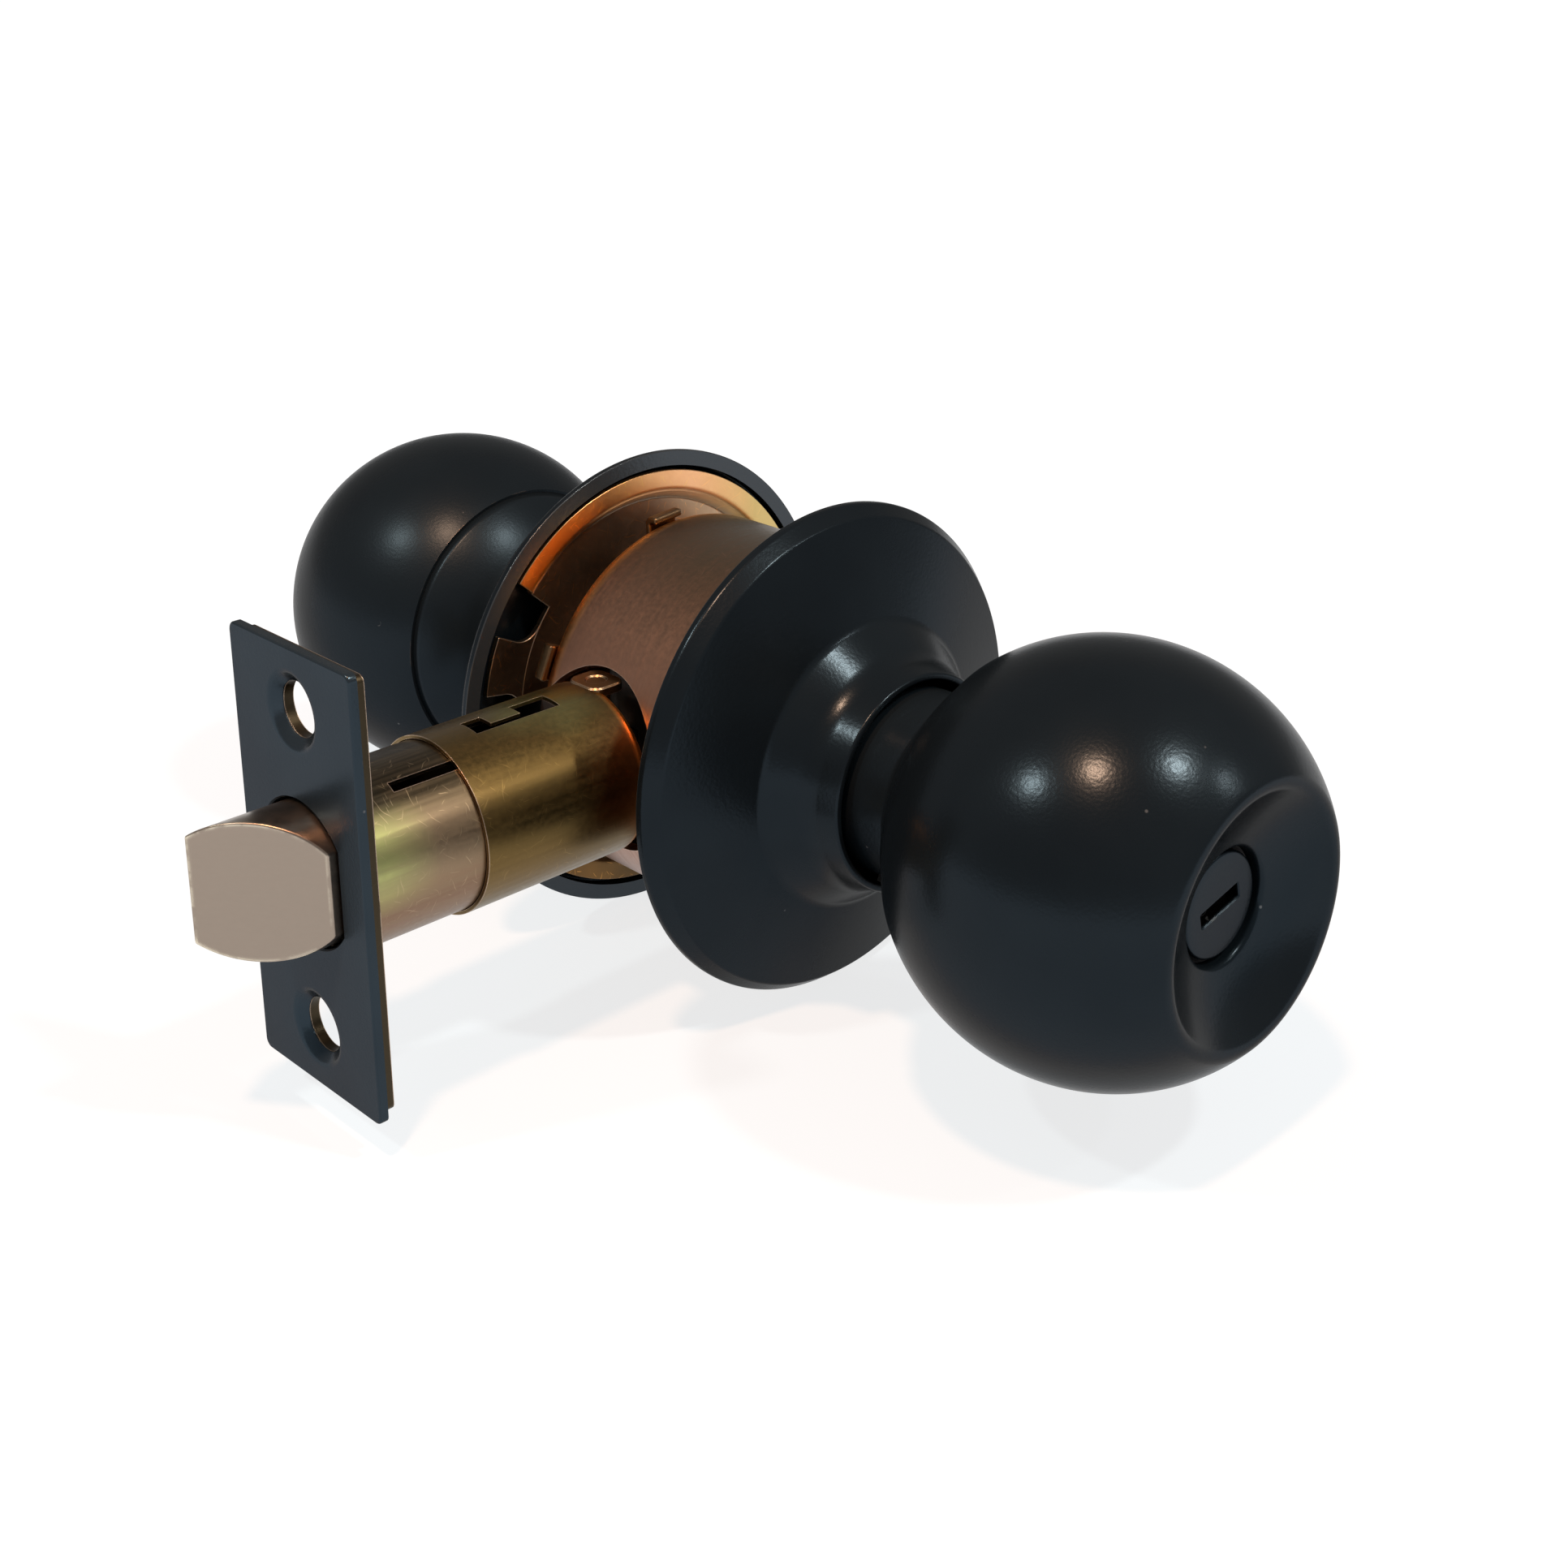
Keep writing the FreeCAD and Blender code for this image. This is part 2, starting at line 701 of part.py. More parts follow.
def make_catch_spring(side):
    tilt = about_y(-S["catch_tilt"].value)
    seat = S["turn_bar_width"] / 2 + S["slide_gap"] * 2
    length = CATCH_FOOT_BASE - seat
    wire = S["spring_wire"] * 0.6
    body = make_coil(f"{side}_catch_spring", S["catch_width"] / 2, wire, as_size(4), length)
    start = FreeCAD.Vector(0, S["catch_place"].value, -CATCH_FOOT_BASE.value)
    rotation = SIDES[side] * tilt
    body.Placement = FreeCAD.Placement(rotation.multVec(start), rotation)


# Housing, its bracket and the spring seat

def make_housing():
    body = new_body("housing")
    sketch = new_sketch(body, "XY_Plane")
    outer = S["housing_radius"]
    wall = S["housing_wall"]
    end = S["housing_inside_end"]
    open_end = -PLATE_FLOOR
    corner = S["housing_corner_radius"]
    outline(sketch, [
        (BEARING_RADIUS, end - wall),
        (HOUSING_INSIDE, end - wall, {"round": corner - wall}),
        (HOUSING_INSIDE, open_end),
        (outer, open_end),
        (outer, end, {"round": corner}),
        (BEARING_RADIUS, end),
    ])
    revolve(body, sketch)
    window = new_sketch(body, "YZ_Plane", lift=S["window_depth"] - outer)
    circle(window, 0, 0, TUBE_RADIUS + S["window_gap"])
    extrude(body, window, outer * 2, cuts=True)
    holes = new_sketch(body, "XZ_Plane")
    for way in (1, -1):
        circle(holes, 0, S["screw_circle_radius"] * way, S["screw_radius"] + S["slide_gap"])
    extrude(body, holes, outer * 2, cuts=True)


BRACKET_EARS = (95.0, 156.0, -156.0, -95.0)


def make_bracket():
    """A plate on the housing's end wall with ears that hook over its rounded edge."""
    body = new_body("housing_bracket")
    base = S["housing_inside_end"]
    sheet_metal = S["bracket_sheet"]
    disc = new_sketch(body, "XY_Plane")
    disc_radius = S["housing_radius"] - S["bracket_setback"]
    rectangle(disc, BEARING_RADIUS + S["slide_gap"], disc_radius, base, base + sheet_metal)
    revolve(body, disc)
    outer = S["housing_radius"] + S["close_gap"]
    half = S["bracket_ear_width"] / 2
    for angle in BRACKET_EARS:
        arm = new_sketch(body, "XZ_Plane", lift=-(base + sheet_metal))
        turned_rectangle(arm, angle, disc_radius - sheet_metal, outer + sheet_metal, half)
        extrude(body, arm, sheet_metal)
        hook = new_sketch(body, "XZ_Plane", lift=-(base + sheet_metal))
        turned_rectangle(hook, angle, outer, outer + sheet_metal, half)
        extrude(body, hook, S["bracket_ear_length"])
    holes = new_sketch(body, "XZ_Plane")
    for way in (1, -1):
        circle(holes, 0, S["screw_circle_radius"] * way, S["screw_radius"] + S["close_gap"])
    extrude(body, holes, S["housing_radius"] * 2, cuts=True)


def turned_rectangle(sketch, angle, near, far, half):
    """A rectangle that runs outwards from near to far in the direction angle (degrees from X)."""
    along = (math.cos(math.radians(angle)), math.sin(math.radians(angle)))
    across = (-along[1], along[0])
    corners = [(near, -half), (far, -half), (far, half), (near, half)]
    outline(sketch, [
        (u * along[0] + v * across[0], u * along[1] + v * across[1]) for u, v in corners
    ])


def make_spring_seat():
    """A plate whose rear corners rest against the housing's wall, with a peg for each spring."""
    body = new_body("spring_seat")
    plate = new_sketch(body, "YZ_Plane", lift=SEAT_PLACE)
    half_height = leg(HOUSING_INSIDE - S["close_gap"], SEAT_PLACE + S["seat_thickness"])
    half_thickness = S["retractor_thickness"] / 2
    rectangle(plate, -half_thickness, half_thickness, -half_height, half_height)
    extrude(body, plate, S["seat_thickness"])
    pegs = new_sketch(body, "YZ_Plane", lift=SEAT_PLACE)
    for way in (1, -1):
        peg_radius = S["spring_radius"] - S["spring_wire"] - S["slide_gap"]
        circle(pegs, 0, S["spring_spacing"] / 2 * way, peg_radius)
    extrude(body, pegs, S["spring_radius"], back=True)


# Retractor: a carriage that grips the latch tail and is pushed to +X by the wings

def make_retractor():
    body = new_body("retractor")
    thickness = S["retractor_thickness"]
    front = -RETRACTOR_FRONT
    rear = -S["retractor_rear"]
    half_height = S["retractor_height"] / 2
    block = new_sketch(body, "XZ_Plane")
    rectangle(block, front, rear, -half_height, half_height)
    extrude(body, block, thickness, both=True)
    arms_low = SPINDLE_RADIUS + S["slide_gap"] * 2
    for way in (1, -1):
        arm = new_sketch(body, "XZ_Plane")
        foot = half_height - S["arm_overlap"]
        rectangle(arm, -S["arm_start"], S["arm_end"], foot * way, S["arm_top"] * way)
        extrude(body, arm, thickness, both=True)
        pad = new_sketch(body, "XZ_Plane", lift=thickness / 2)
        pad_face = S["wing_thickness"] / 2 + S["cam_slack"]
        rectangle(pad, pad_face, S["arm_end"], arms_low * way, S["arm_top"] * way)
        extrude(body, pad, S["spindle_inner_end"] + S["wing_width"] - thickness / 2)
    bar_reach = S["turn_bar_width"] / 2 + S["slide_gap"] * 2
    head_back = -(TAIL_HEAD - S["slide_gap"])
    channel = new_sketch(body, "XZ_Plane")
    rectangle(channel, head_back, rear + 1, -bar_reach, bar_reach)
    extrude(body, channel, thickness + 2, cuts=True, both=True)
    cavity = new_sketch(body, "XZ_Plane")
    cavity_half = S["tail_head_height"] / 2 + S["slide_gap"]
    head_front = -(TAIL_HEAD + S["tail_head_length"] + S["slide_gap"])
    rectangle(cavity, head_front, head_back + S["slide_gap"], -cavity_half, cavity_half)
    extrude(body, cavity, S["tail_thickness"] + S["slide_gap"] * 2, cuts=True, both=True)
    slot = new_sketch(body, "XZ_Plane")
    slot_half = S["tail_height"] / 2 + S["slide_gap"]
    rectangle(slot, front - 1, head_front + S["slide_gap"], -slot_half, slot_half)
    extrude(body, slot, S["tail_thickness"] + S["slide_gap"] * 2, cuts=True, both=True)


def make_retractor_springs():
    """Two springs between the carriage and the seat, one above and one below the turn bar."""
    length = SEAT_PLACE + S["retractor_rear"]
    lie_along_x = FreeCAD.Rotation(FreeCAD.Vector(0, 1, 0), 90)
    radius, wire, turns = S["spring_radius"], S["spring_wire"], S["spring_turns"]
    coils = []
    for name, way in (("upper", 1), ("lower", -1)):
        body = make_coil(f"{name}_spring", radius, wire, turns, length, own_node=False)
        start = FreeCAD.Vector(-S["retractor_rear"].value, 0, S["spring_spacing"].value / 2 * way)
        body.Placement = FreeCAD.Placement(start, lie_along_x)
        coils.append(body)
    new_group("retractor_springs", coils)


# Mounting plates and screws

def plate_section(sketch, bore):
    """The dished section that both mounting plates share, drawn for the +Y side."""
    metal = S["plate_sheet"]
    slope_radius = PLATE_FLOOR_RADIUS + (PLATE_RADIUS - PLATE_FLOOR_RADIUS) * 0.22
    slope_foot = PLATE_RIM + (PLATE_FLOOR - PLATE_RIM) / 2
    outline(sketch, [
        (bore, PLATE_FLOOR),
        (PLATE_FLOOR_RADIUS, PLATE_FLOOR),
        (slope_radius, slope_foot),
        (PLATE_RADIUS, PLATE_RIM),
        (PLATE_RADIUS, PLATE_RIM + metal),
        (slope_radius + PLATE_BEND, slope_foot + metal),
        (PLATE_FLOOR_RADIUS + PLATE_BEND, PLATE_FLOOR + metal),
        (bore, PLATE_FLOOR + metal),
    ])


CLIP_ANGLES = (0.0, 120.0, -120.0)


def add_rose_clips(body):
    """Three lugs on the plate's rim that hold the rose."""
    metal = S["plate_sheet"]
    for angle in CLIP_ANGLES:
        clip = new_sketch(body, "XZ_Plane", lift=-(PLATE_RIM + metal))
        reach = leg(ROSE_MOUTH - S["close_gap"], S["clip_width"] / 2)
        turned_rectangle(clip, angle, PLATE_RADIUS - metal, reach, S["clip_width"] / 2)
        extrude(body, clip, metal)


def make_inside_plate():
    """The inside plate is cut away towards the latch, with an ear left on each side of it."""
    body = new_body("inside_mounting_plate")
    sketch = new_sketch(body, "XY_Plane")
    plate_section(sketch, BEARING_RADIUS + S["slide_gap"])
    revolve(body, sketch)
    add_rose_clips(body)
    cut_plate_front(body)
    holes = new_sketch(body, "XZ_Plane")
    for way in (1, -1):
        circle(holes, 0, S["screw_circle_radius"] * way, S["screw_radius"] + S["slide_gap"])
    extrude(body, holes, PLATE_FLOOR * 2, cuts=True)


def polar(radius, angle):
    radians = math.radians(angle.value)
    return (
        radius * Size(math.cos(radians), f"cos({angle.text})"),
        radius * Size(math.sin(radians), f"sin({angle.text})"),
    )


def cut_plate_front(body):
    """Notches between the rim's ends and the ears, and the gap between the ears."""
    beyond = S["rose_radius"]
    notch = PLATE_FLOOR_RADIUS - S["notch_depth"]
    ear_radius = PLATE_RADIUS - S["ear_setback"]
    bend = S["plate_sheet"] * 2.5
    for way in (1, -1):
        rim = polar(beyond, S["rim_end_angle"])
        rim_in = polar(notch, S["rim_end_angle"] + 2)
        ear = polar(beyond, S["ear_start_angle"])
        ear_in = polar(notch + bend, S["ear_start_angle"] - 4)
        sketch = new_sketch(body, "XZ_Plane")
        outline(sketch, [
            (rim[0], rim[1] * way),
            (rim_in[0], rim_in[1] * way, {"round": bend}),
            (ear_in[0], ear_in[1] * way, {"round": bend}),
            (ear[0], ear[1] * way),
        ])
        extrude(body, sketch, PLATE_FLOOR * 2, cuts=True)
        trim = new_sketch(body, "XZ_Plane")
        tip_start = polar(ear_radius, S["ear_start_angle"] - 3)
        tip_end = polar(ear_radius, S["ear_end_angle"] + 2)
        far_start = polar(beyond * 1.2, S["ear_start_angle"] - 6)
        far_end = polar(beyond * 1.2, S["ear_end_angle"] + 2)
        outline(trim, [
            (tip_start[0], tip_start[1] * way),
            (far_start[0], far_start[1] * way),
            (far_end[0], far_end[1] * way),
            (tip_end[0], tip_end[1] * way, {"arc": (ear_radius, -way)}),
        ])
        extrude(body, trim, PLATE_FLOOR * 2, cuts=True)
    mouth = new_sketch(body, "XZ_Plane")
    edge = polar(beyond * 1.2, S["ear_end_angle"])
    edge_in = (-SPINDLE_RADIUS * 1.75, S["plate_sheet"] * 1.2)
    outline(mouth, [
        (edge[0], edge[1]),
        (edge[0], -edge[1]),
        (edge_in[0], -edge_in[1]),
        (edge_in[0], edge_in[1]),
    ])
    extrude(body, mouth, PLATE_FLOOR * 2, cuts=True)


def make_outside_plate():
    """The outside plate closes the housing and carries the outside rose."""
    body = new_body("outside_mounting_plate")
    sketch = new_sketch(body, "XY_Plane")
    plate_section(sketch, BEARING_RADIUS)
    revolve(body, sketch)
    add_rose_clips(body)
    put(body, HALF_TURN)


def make_mounting_screws():
    """Two pan-head machine screws through the inside plate into the housing bracket."""
    screws = []
    for name, way in (("upper", 1), ("lower", -1)):
        body = new_body(f"{name}_screw", own_node=False)
        sketch = new_sketch(body, "XY_Plane")
        head_foot = PLATE_FLOOR + S["plate_sheet"]
        tip = S["housing_inside_end"] - S["housing_wall"] * 1.5
        head = S["screw_head_radius"]
        crown = head_foot + S["screw_head_height"]
        socket = S["screw_radius"] * 0.7
        outline(sketch, [
            (0, tip),
            (S["screw_radius"], tip),
            (S["screw_radius"], head_foot),
            (head, head_foot),
            (head, crown, {"round": S["screw_radius"] * 0.4}),
            (socket, crown),
            (0, crown - socket),
        ])
        revolve(body, sketch)
        place = FreeCAD.Vector(0, 0, S["screw_circle_radius"].value * way)
        body.Placement = FreeCAD.Placement(place, NO_TURN)
        screws.append(body)
    new_group("mounting_screws", screws)


# Turn bar, lock cam, release disc and turn button

TURN = about_y(-DIMENSIONS["turn_rest_angle"])


def make_turn_bar():
    body = new_body("turn_bar")
    sketch = new_sketch(body, "XZ_Plane")
    half_width = S["turn_bar_width"] / 2
    half_thickness = S["turn_bar_thickness"] / 2
    rectangle(sketch, -half_width, half_width, -half_thickness, half_thickness)
    extrude(body, sketch, S["turn_bar_half_length"] * 2, both=True)
    put(body, TURN)


def cut_bar_socket(body, depth_from):
    """A flat socket that fits the turn bar, open towards the door."""
    socket = new_sketch(body, "XZ_Plane", lift=-depth_from)
    half_width = S["turn_bar_width"] / 2 + S["close_gap"]
    half_thickness = S["turn_bar_thickness"] / 2 + S["close_gap"]
    rectangle(socket, -half_width, half_width, -half_thickness, half_thickness)
    extrude(body, socket, S["turn_bar_half_length"] + S["close_gap"] - depth_from, cuts=True)


def make_lock_cam():
    """A double-lobed cam on the turn bar, inside the outside spindle."""
    body = new_body("lock_cam")
    near = S["spindle_inner_end"] + S["lock_cam_place"] / 2
    sketch = new_sketch(body, "XZ_Plane", lift=near)
    lobe = S["lock_cam_radius"]
    waist = S["lock_cam_width"] / 2
    flank = leg(lobe, waist)
    outline(sketch, [
        (-waist, -flank, {"arc": (lobe, 1)}),
        (waist, -flank),
        (waist, flank, {"arc": (lobe, 1)}),
        (-waist, flank),
    ])
    extrude(body, sketch, S["lock_cam_thickness"])
    hole = new_sketch(body, "XZ_Plane")
    half_width = S["turn_bar_width"] / 2 + S["close_gap"]
    half_thickness = S["turn_bar_thickness"] / 2 + S["close_gap"]
    rectangle(hole, -half_width, half_width, -half_thickness, half_thickness)
    extrude(body, hole, S["turn_bar_half_length"], cuts=True, both=True)
    put(body, TURN)


def stem_and_disc(body):
    """The round base and its stem, which both turn pieces share, drawn for the +Y side."""
    sketch = new_sketch(body, "XY_Plane")
    back = DISC_FACE - S["disc_thickness"]
    outline(sketch, [
        (0, back - S["stem_length"]),
        (S["stem_radius"], back - S["stem_length"]),
        (S["stem_radius"], back),
        (S["disc_radius"], back),
        (S["disc_radius"], DISC_FACE, {"round": S["disc_thickness"] * 0.2}),
        (0, DISC_FACE),
    ])
    revolve(body, sketch)
    cut_bar_socket(body, back - S["stem_length"])


def make_release_disc():
    body = new_body("release_disc")
    stem_and_disc(body)
    slot = new_sketch(body, "XZ_Plane", lift=-DISC_FACE)
    half_length = S["disc_slot_length"] / 2
    half_width = S["disc_slot_width"] / 2
    rectangle(slot, -half_length, half_length, -half_width, half_width)
    extrude(body, slot, S["disc_slot_depth"], cuts=True, back=True)
    put(body, TURN * HALF_TURN)


def make_turn_button():
    """The inside turn: the same base with a rounded grip standing on it."""
    body = new_body("turn_button")
    stem_and_disc(body)
    grip = new_sketch(body, "XY_Plane")
    half_width = S["grip_width"] / 2
    base_half = leg(S["disc_radius"], S["grip_thickness"] / 2) - S["slide_gap"]
    face = DISC_FACE
    shoulder = face + S["grip_height"] / 3
    top = face + S["grip_height"]
    corner = S["grip_corner_radius"]
    outline(grip, [
        (-base_half, face - S["disc_thickness"] / 2),
        (base_half, face - S["disc_thickness"] / 2),
        (base_half, face + S["slide_gap"]),
        (half_width, shoulder + corner, {"round": corner}),
        (half_width, top, {"round": corner}),
        (-half_width, top, {"round": corner}),
        (-half_width, shoulder + corner, {"round": corner}),
        (-base_half, face + S["slide_gap"]),
    ])
    extrude(body, grip, S["grip_thickness"], both=True)
    put(body, TURN)


# Latch

def plate_outline(sketch, shrink):
    half_width = S["faceplate_width"] / 2 - shrink
    half_height = S["faceplate_height"] / 2 - shrink
    bend = {"round": S["faceplate_corner_radius"]}
    outline(sketch, [
        (-half_width, -half_height, bend),
        (half_width, -half_height, bend),
        (half_width, half_height, bend),
        (-half_width, half_height, bend),
    ])


def bolt_section(sketch, gap):
    """A round bar with a flat on each side, widened by gap."""
    radius = S["bolt_radius"] + gap
    half = S["bolt_half_width"] + gap
    height = leg(radius, half)
    outline(sketch, [
        (-half, -height, {"arc": (radius, 1)}),
        (half, -height),
        (half, height, {"arc": (radius, 1)}),
        (-half, height),
    ])


def make_latch_plate(label, front, thickness, countersunk):
    body = new_body(label)
    sketch = new_sketch(body, "YZ_Plane", lift=front)
    plate_outline(sketch, S["backing_inset"] * (0 if countersunk else 1))
    extrude(body, sketch, thickness)
    cuts = new_sketch(body, "YZ_Plane", lift=front + thickness)
    bolt_section(cuts, S["bolt_clearance"])
    for way in (1, -1):
        circle(cuts, 0, S["screw_spacing"] / 2 * way, S["screw_hole_radius"])
    extrude(body, cuts, thickness * 2, cuts=True)
    if countersunk:
        for way in (1, -1):
            cut_countersink(body, S["screw_spacing"] / 2 * way)


def cut_countersink(body, height):
    """A cone whose axis is along X, cut by turning a triangle about its own line."""
    sketch = new_sketch(body, "XZ_Plane")
    front = FACE_FRONT
    outline(sketch, [
        (front, height),
        (front, height + S["countersink_radius"]),
        (front + S["countersink_depth"], height + S["screw_hole_radius"]),
        (front + S["countersink_depth"], height),
    ])
    axis = sketch.addGeometry(Part.LineSegment(vector((front, height)), vector((front + 1, height))), True)
    sketch.addConstraint(Sketcher.Constraint("Horizontal", axis))
    pin_point(sketch, axis, 1, front, height)
    bind(sketch, "DistanceX", (axis, 2), front + 1)
    before = volume_of(body)
    feature = body.newObject("PartDesign::Groove", body.Name + "_countersink")
    feature.Profile = sketch
    feature.ReferenceAxis = (sketch, ["Axis0"])
    feature.Angle = 360
    finish_feature(body, feature, before, True)


def make_sleeve():
    """The front sleeve, with a long slot near its top and a notch under the rear tube's windows."""
    body = new_body("latch_front_sleeve")
    sketch = new_sketch(body, "YZ_Plane", lift=BACKING_BACK)
    circle(sketch, 0, 0, S["sleeve_radius"])
    circle(sketch, 0, 0, S["sleeve_radius"] - S["sleeve_wall"])
    extrude(body, sketch, S["sleeve_length"])
    slot = new_sketch(body, "XY_Plane")
    start = FACE_FRONT + S["sleeve_slot_start"]
    angle = S["sleeve_slot_angle"]
    middle = -S["sleeve_radius"] * Size(math.sin(math.radians(angle.value)), f"sin({angle.text})")
    half = S["sleeve_slot_width"] / 2
    end = BACKING_BACK + S["sleeve_length"] + 1
    rectangle(slot, start, end, middle - half, middle + half)
    extrude(body, slot, S["sleeve_radius"] * 2, cuts=True, back=True)
    notch = new_sketch(body, "XY_Plane")
    margin = S["bayonet_margin"]
    front = FACE_FRONT + S["bayonet_front_start"] - margin
    wide = S["bayonet_width"]
    edge = wide / 2 - S["bayonet_offset"]
    rectangle(notch, front, end, edge - wide - margin, edge + margin)
    extrude(body, notch, S["sleeve_radius"] * 2, cuts=True, back=True)


def make_rear_tube():
    """The rear tube: open in front, turned in at its end, with a prong above and below."""
    body = new_body("latch_rear_tube")
    sketch = new_sketch(body, "XZ_Plane")
    mouth = FACE_FRONT + S["tube_mouth"]
    outer = TUBE_RADIUS
    inner = outer - S["tube_wall"]
    end_wall = S["tube_end_wall"]
    bend = S["tube_end_corner"]
    outline(sketch, [
        (mouth, inner),
        (TUBE_END - end_wall, inner, {"round": bend - S["tube_wall"]}),
        (TUBE_END - end_wall, S["tube_end_hole_radius"]),
        (TUBE_END, S["tube_end_hole_radius"]),
        (TUBE_END, outer, {"round": bend}),
        (mouth, outer),
    ])
    before = volume_of(body)
    feature = body.newObject("PartDesign::Revolution", "latch_rear_tube_turned")
    feature.Profile = sketch
    feature.ReferenceAxis = (sketch, ["H_Axis"])
    feature.Angle = 360
    finish_feature(body, feature, before, False)
    for way in (1, -1):
        prong = new_sketch(body, "XY_Plane", lift=(outer - S["tube_wall"] * 2) * way)
        half = S["prong_width"] / 2
        root_x = TUBE_END - bend * 2
        tip = TUBE_END + S["prong_reach"]
        outline(prong, [
            (root_x, -half),
            (tip - half / 2, -half),
            (tip, -half / 2),
            (tip, half / 2),
            (tip - half / 2, half),
            (root_x, half),
        ])
        extrude(body, prong, S["prong_thickness"], back=(way < 0))
    for start, end, width, offset in bayonet_windows():
        window = new_sketch(body, "XY_Plane")
        rectangle(window, FACE_FRONT + start, FACE_FRONT + end, offset - width, offset)
        extrude(body, window, outer * 2, cuts=True, back=True)


def bayonet_windows():
    """Two windows on top of the rear tube joined by a slit, as (start, end, width, right edge)."""
    wide = S["bayonet_width"]
    edge = wide / 2 - S["bayonet_offset"]
    overlap = S["close_gap"]
    return (
        (S["bayonet_front_start"], S["bayonet_front_end"], wide, edge),
        (S["bayonet_rear_start"], S["bayonet_rear_end"], wide, edge),
        (
            S["bayonet_front_end"] - overlap,
            S["bayonet_rear_start"] + overlap,
            S["bayonet_slit_width"],
            edge - wide + S["bayonet_slit_width"],
        ),
    )


def make_bolt():
    """The bevelled bolt, with a slot at its back for the tail and a cross hole for the pin."""
    body = new_body("latch_bolt")
    tip = FACE_FRONT - S["bolt_throw"]
    sketch = new_sketch(body, "YZ_Plane", lift=tip)
    bolt_section(sketch, as_size(0))
    extrude(body, sketch, S["bolt_length"])
    bevel = new_sketch(body, "XY_Plane")
    side = -S["bolt_half_width"]
    outline(bevel, [
        (FACE_FRONT - S["bevel_start"], side),
        (tip, -side - S["bolt_nose_width"]),
        (tip + S["bolt_nose_depth"], -side),
        (tip + S["bolt_nose_depth"], -side + 1),
        (tip - 1, -side + 1),
        (tip - 1, side - 1),
        (FACE_FRONT - S["bevel_start"], side - 1),
    ])
    extrude(body, bevel, S["bolt_radius"] * 3, cuts=True, both=True)
    slot = new_sketch(body, "XZ_Plane")
    half_height = S["tail_height"] / 2 + S["close_gap"]
    rectangle(slot, BOLT_REAR - S["tail_insert"], BOLT_REAR + 1, -half_height, half_height)
    extrude(body, slot, S["tail_thickness"] + S["close_gap"] * 2, cuts=True, both=True)
    cross = new_sketch(body, "XZ_Plane")
    circle(cross, BOLT_REAR - S["tail_insert"] / 2, 0, S["pin_radius"] + S["close_gap"])
    extrude(body, cross, S["bolt_radius"] * 2, cuts=True, both=True)


def make_tail():
    """A flat bar from the bolt to a cross head that the retractor grips."""
    body = new_body("latch_tail")
    front = BOLT_REAR - S["tail_insert"] + S["close_gap"]
    head = -(TAIL_HEAD + S["tail_head_length"])
    sketch = new_sketch(body, "XZ_Plane")
    half = S["tail_height"] / 2
    head_half = S["tail_head_height"] / 2
    outline(sketch, [
        (front, -half),
        (head, -half),
        (head, -head_half),
        (-TAIL_HEAD, -head_half),
        (-TAIL_HEAD, head_half),
        (head, head_half),
        (head, half),
        (front, half),
    ])
    extrude(body, sketch, S["tail_thickness"], both=True)
    cross = new_sketch(body, "XZ_Plane")
    circle(cross, BOLT_REAR - S["tail_insert"] / 2, 0, S["pin_radius"] + S["close_gap"])
    extrude(body, cross, S["bolt_radius"], cuts=True, both=True)


def make_pin():
    body = new_body("latch_pin")
    sketch = new_sketch(body, "XZ_Plane")
    circle(sketch, BOLT_REAR - S["tail_insert"] / 2, 0, S["pin_radius"])
    extrude(body, sketch, (S["bolt_half_width"] - S["slide_gap"]) * 2, both=True)


def make_guide():
    """The disc near the rear tube's end that guides the tail and takes the bolt spring."""
    body = new_body("latch_guide")
    sketch = new_sketch(body, "YZ_Plane", lift=GUIDE_PLACE)
    circle(sketch, 0, 0, TUBE_RADIUS - S["tube_wall"] - S["close_gap"])
    half_width = S["tail_thickness"] / 2 + S["slide_gap"]
    half_height = S["tail_height"] / 2 + S["slide_gap"]
    rectangle(sketch, -half_width, half_width, -half_height, half_height)
    extrude(body, sketch, S["guide_thickness"], back=True)


def make_bolt_spring():
    """The spring that pushes the bolt out, round the tail."""
    length = GUIDE_PLACE - S["guide_thickness"] - BOLT_REAR
    body = make_coil(
        "bolt_spring", S["bolt_spring_radius"], S["bolt_spring_wire"], S["bolt_spring_turns"], length
    )
    lie_along_x = FreeCAD.Rotation(FreeCAD.Vector(0, 1, 0), 90)
    body.Placement = FreeCAD.Placement(FreeCAD.Vector(BOLT_REAR.value, 0, 0), lie_along_x)


for side in ("outside", "inside"):
    make_rose(side)
    make_knob_shell(side)
    make_knob_back(side)
    make_knob_insert(side)
    make_spindle(side)
    make_catch(side)
    make_catch_spring(side)
make_housing()
make_bracket()
make_spring_seat()
make_retractor()
make_retractor_springs()
make_inside_plate()
make_outside_plate()
make_mounting_screws()
make_turn_bar()
make_lock_cam()
make_release_disc()
make_turn_button()
make_latch_plate("latch_faceplate", FACE_FRONT, S["faceplate_thickness"], True)
make_latch_plate("faceplate_backing", FACE_BACK, S["backing_thickness"], False)
make_sleeve()
make_rear_tube()
make_bolt()
make_tail()
make_pin()
make_guide()
make_bolt_spring()
doc.recompute()

# Every object must be sound before anything is written

for item in doc.Objects:
    if "Invalid" in item.State or "Error" in item.State:
        raise RuntimeError(f"{item.Label} failed: {item.State}")
for part in parts:
    if part.Shape.isNull() or not part.Shape.isValid():
        raise RuntimeError(f"{part.Label} has no valid shape")
    expected = len(part.Links) if part.isDerivedFrom("Part::Compound") else 1
    if len(part.Shape.Solids) != expected:
        raise RuntimeError(f"{part.Label} has {len(part.Shape.Solids)} solids")

os.makedirs("parts", exist_ok=True)
for part in parts:
    part.Shape.exportStep(f"parts/{part.Label}.step")
    print(part.Label, round(part.Shape.Volume, 1))
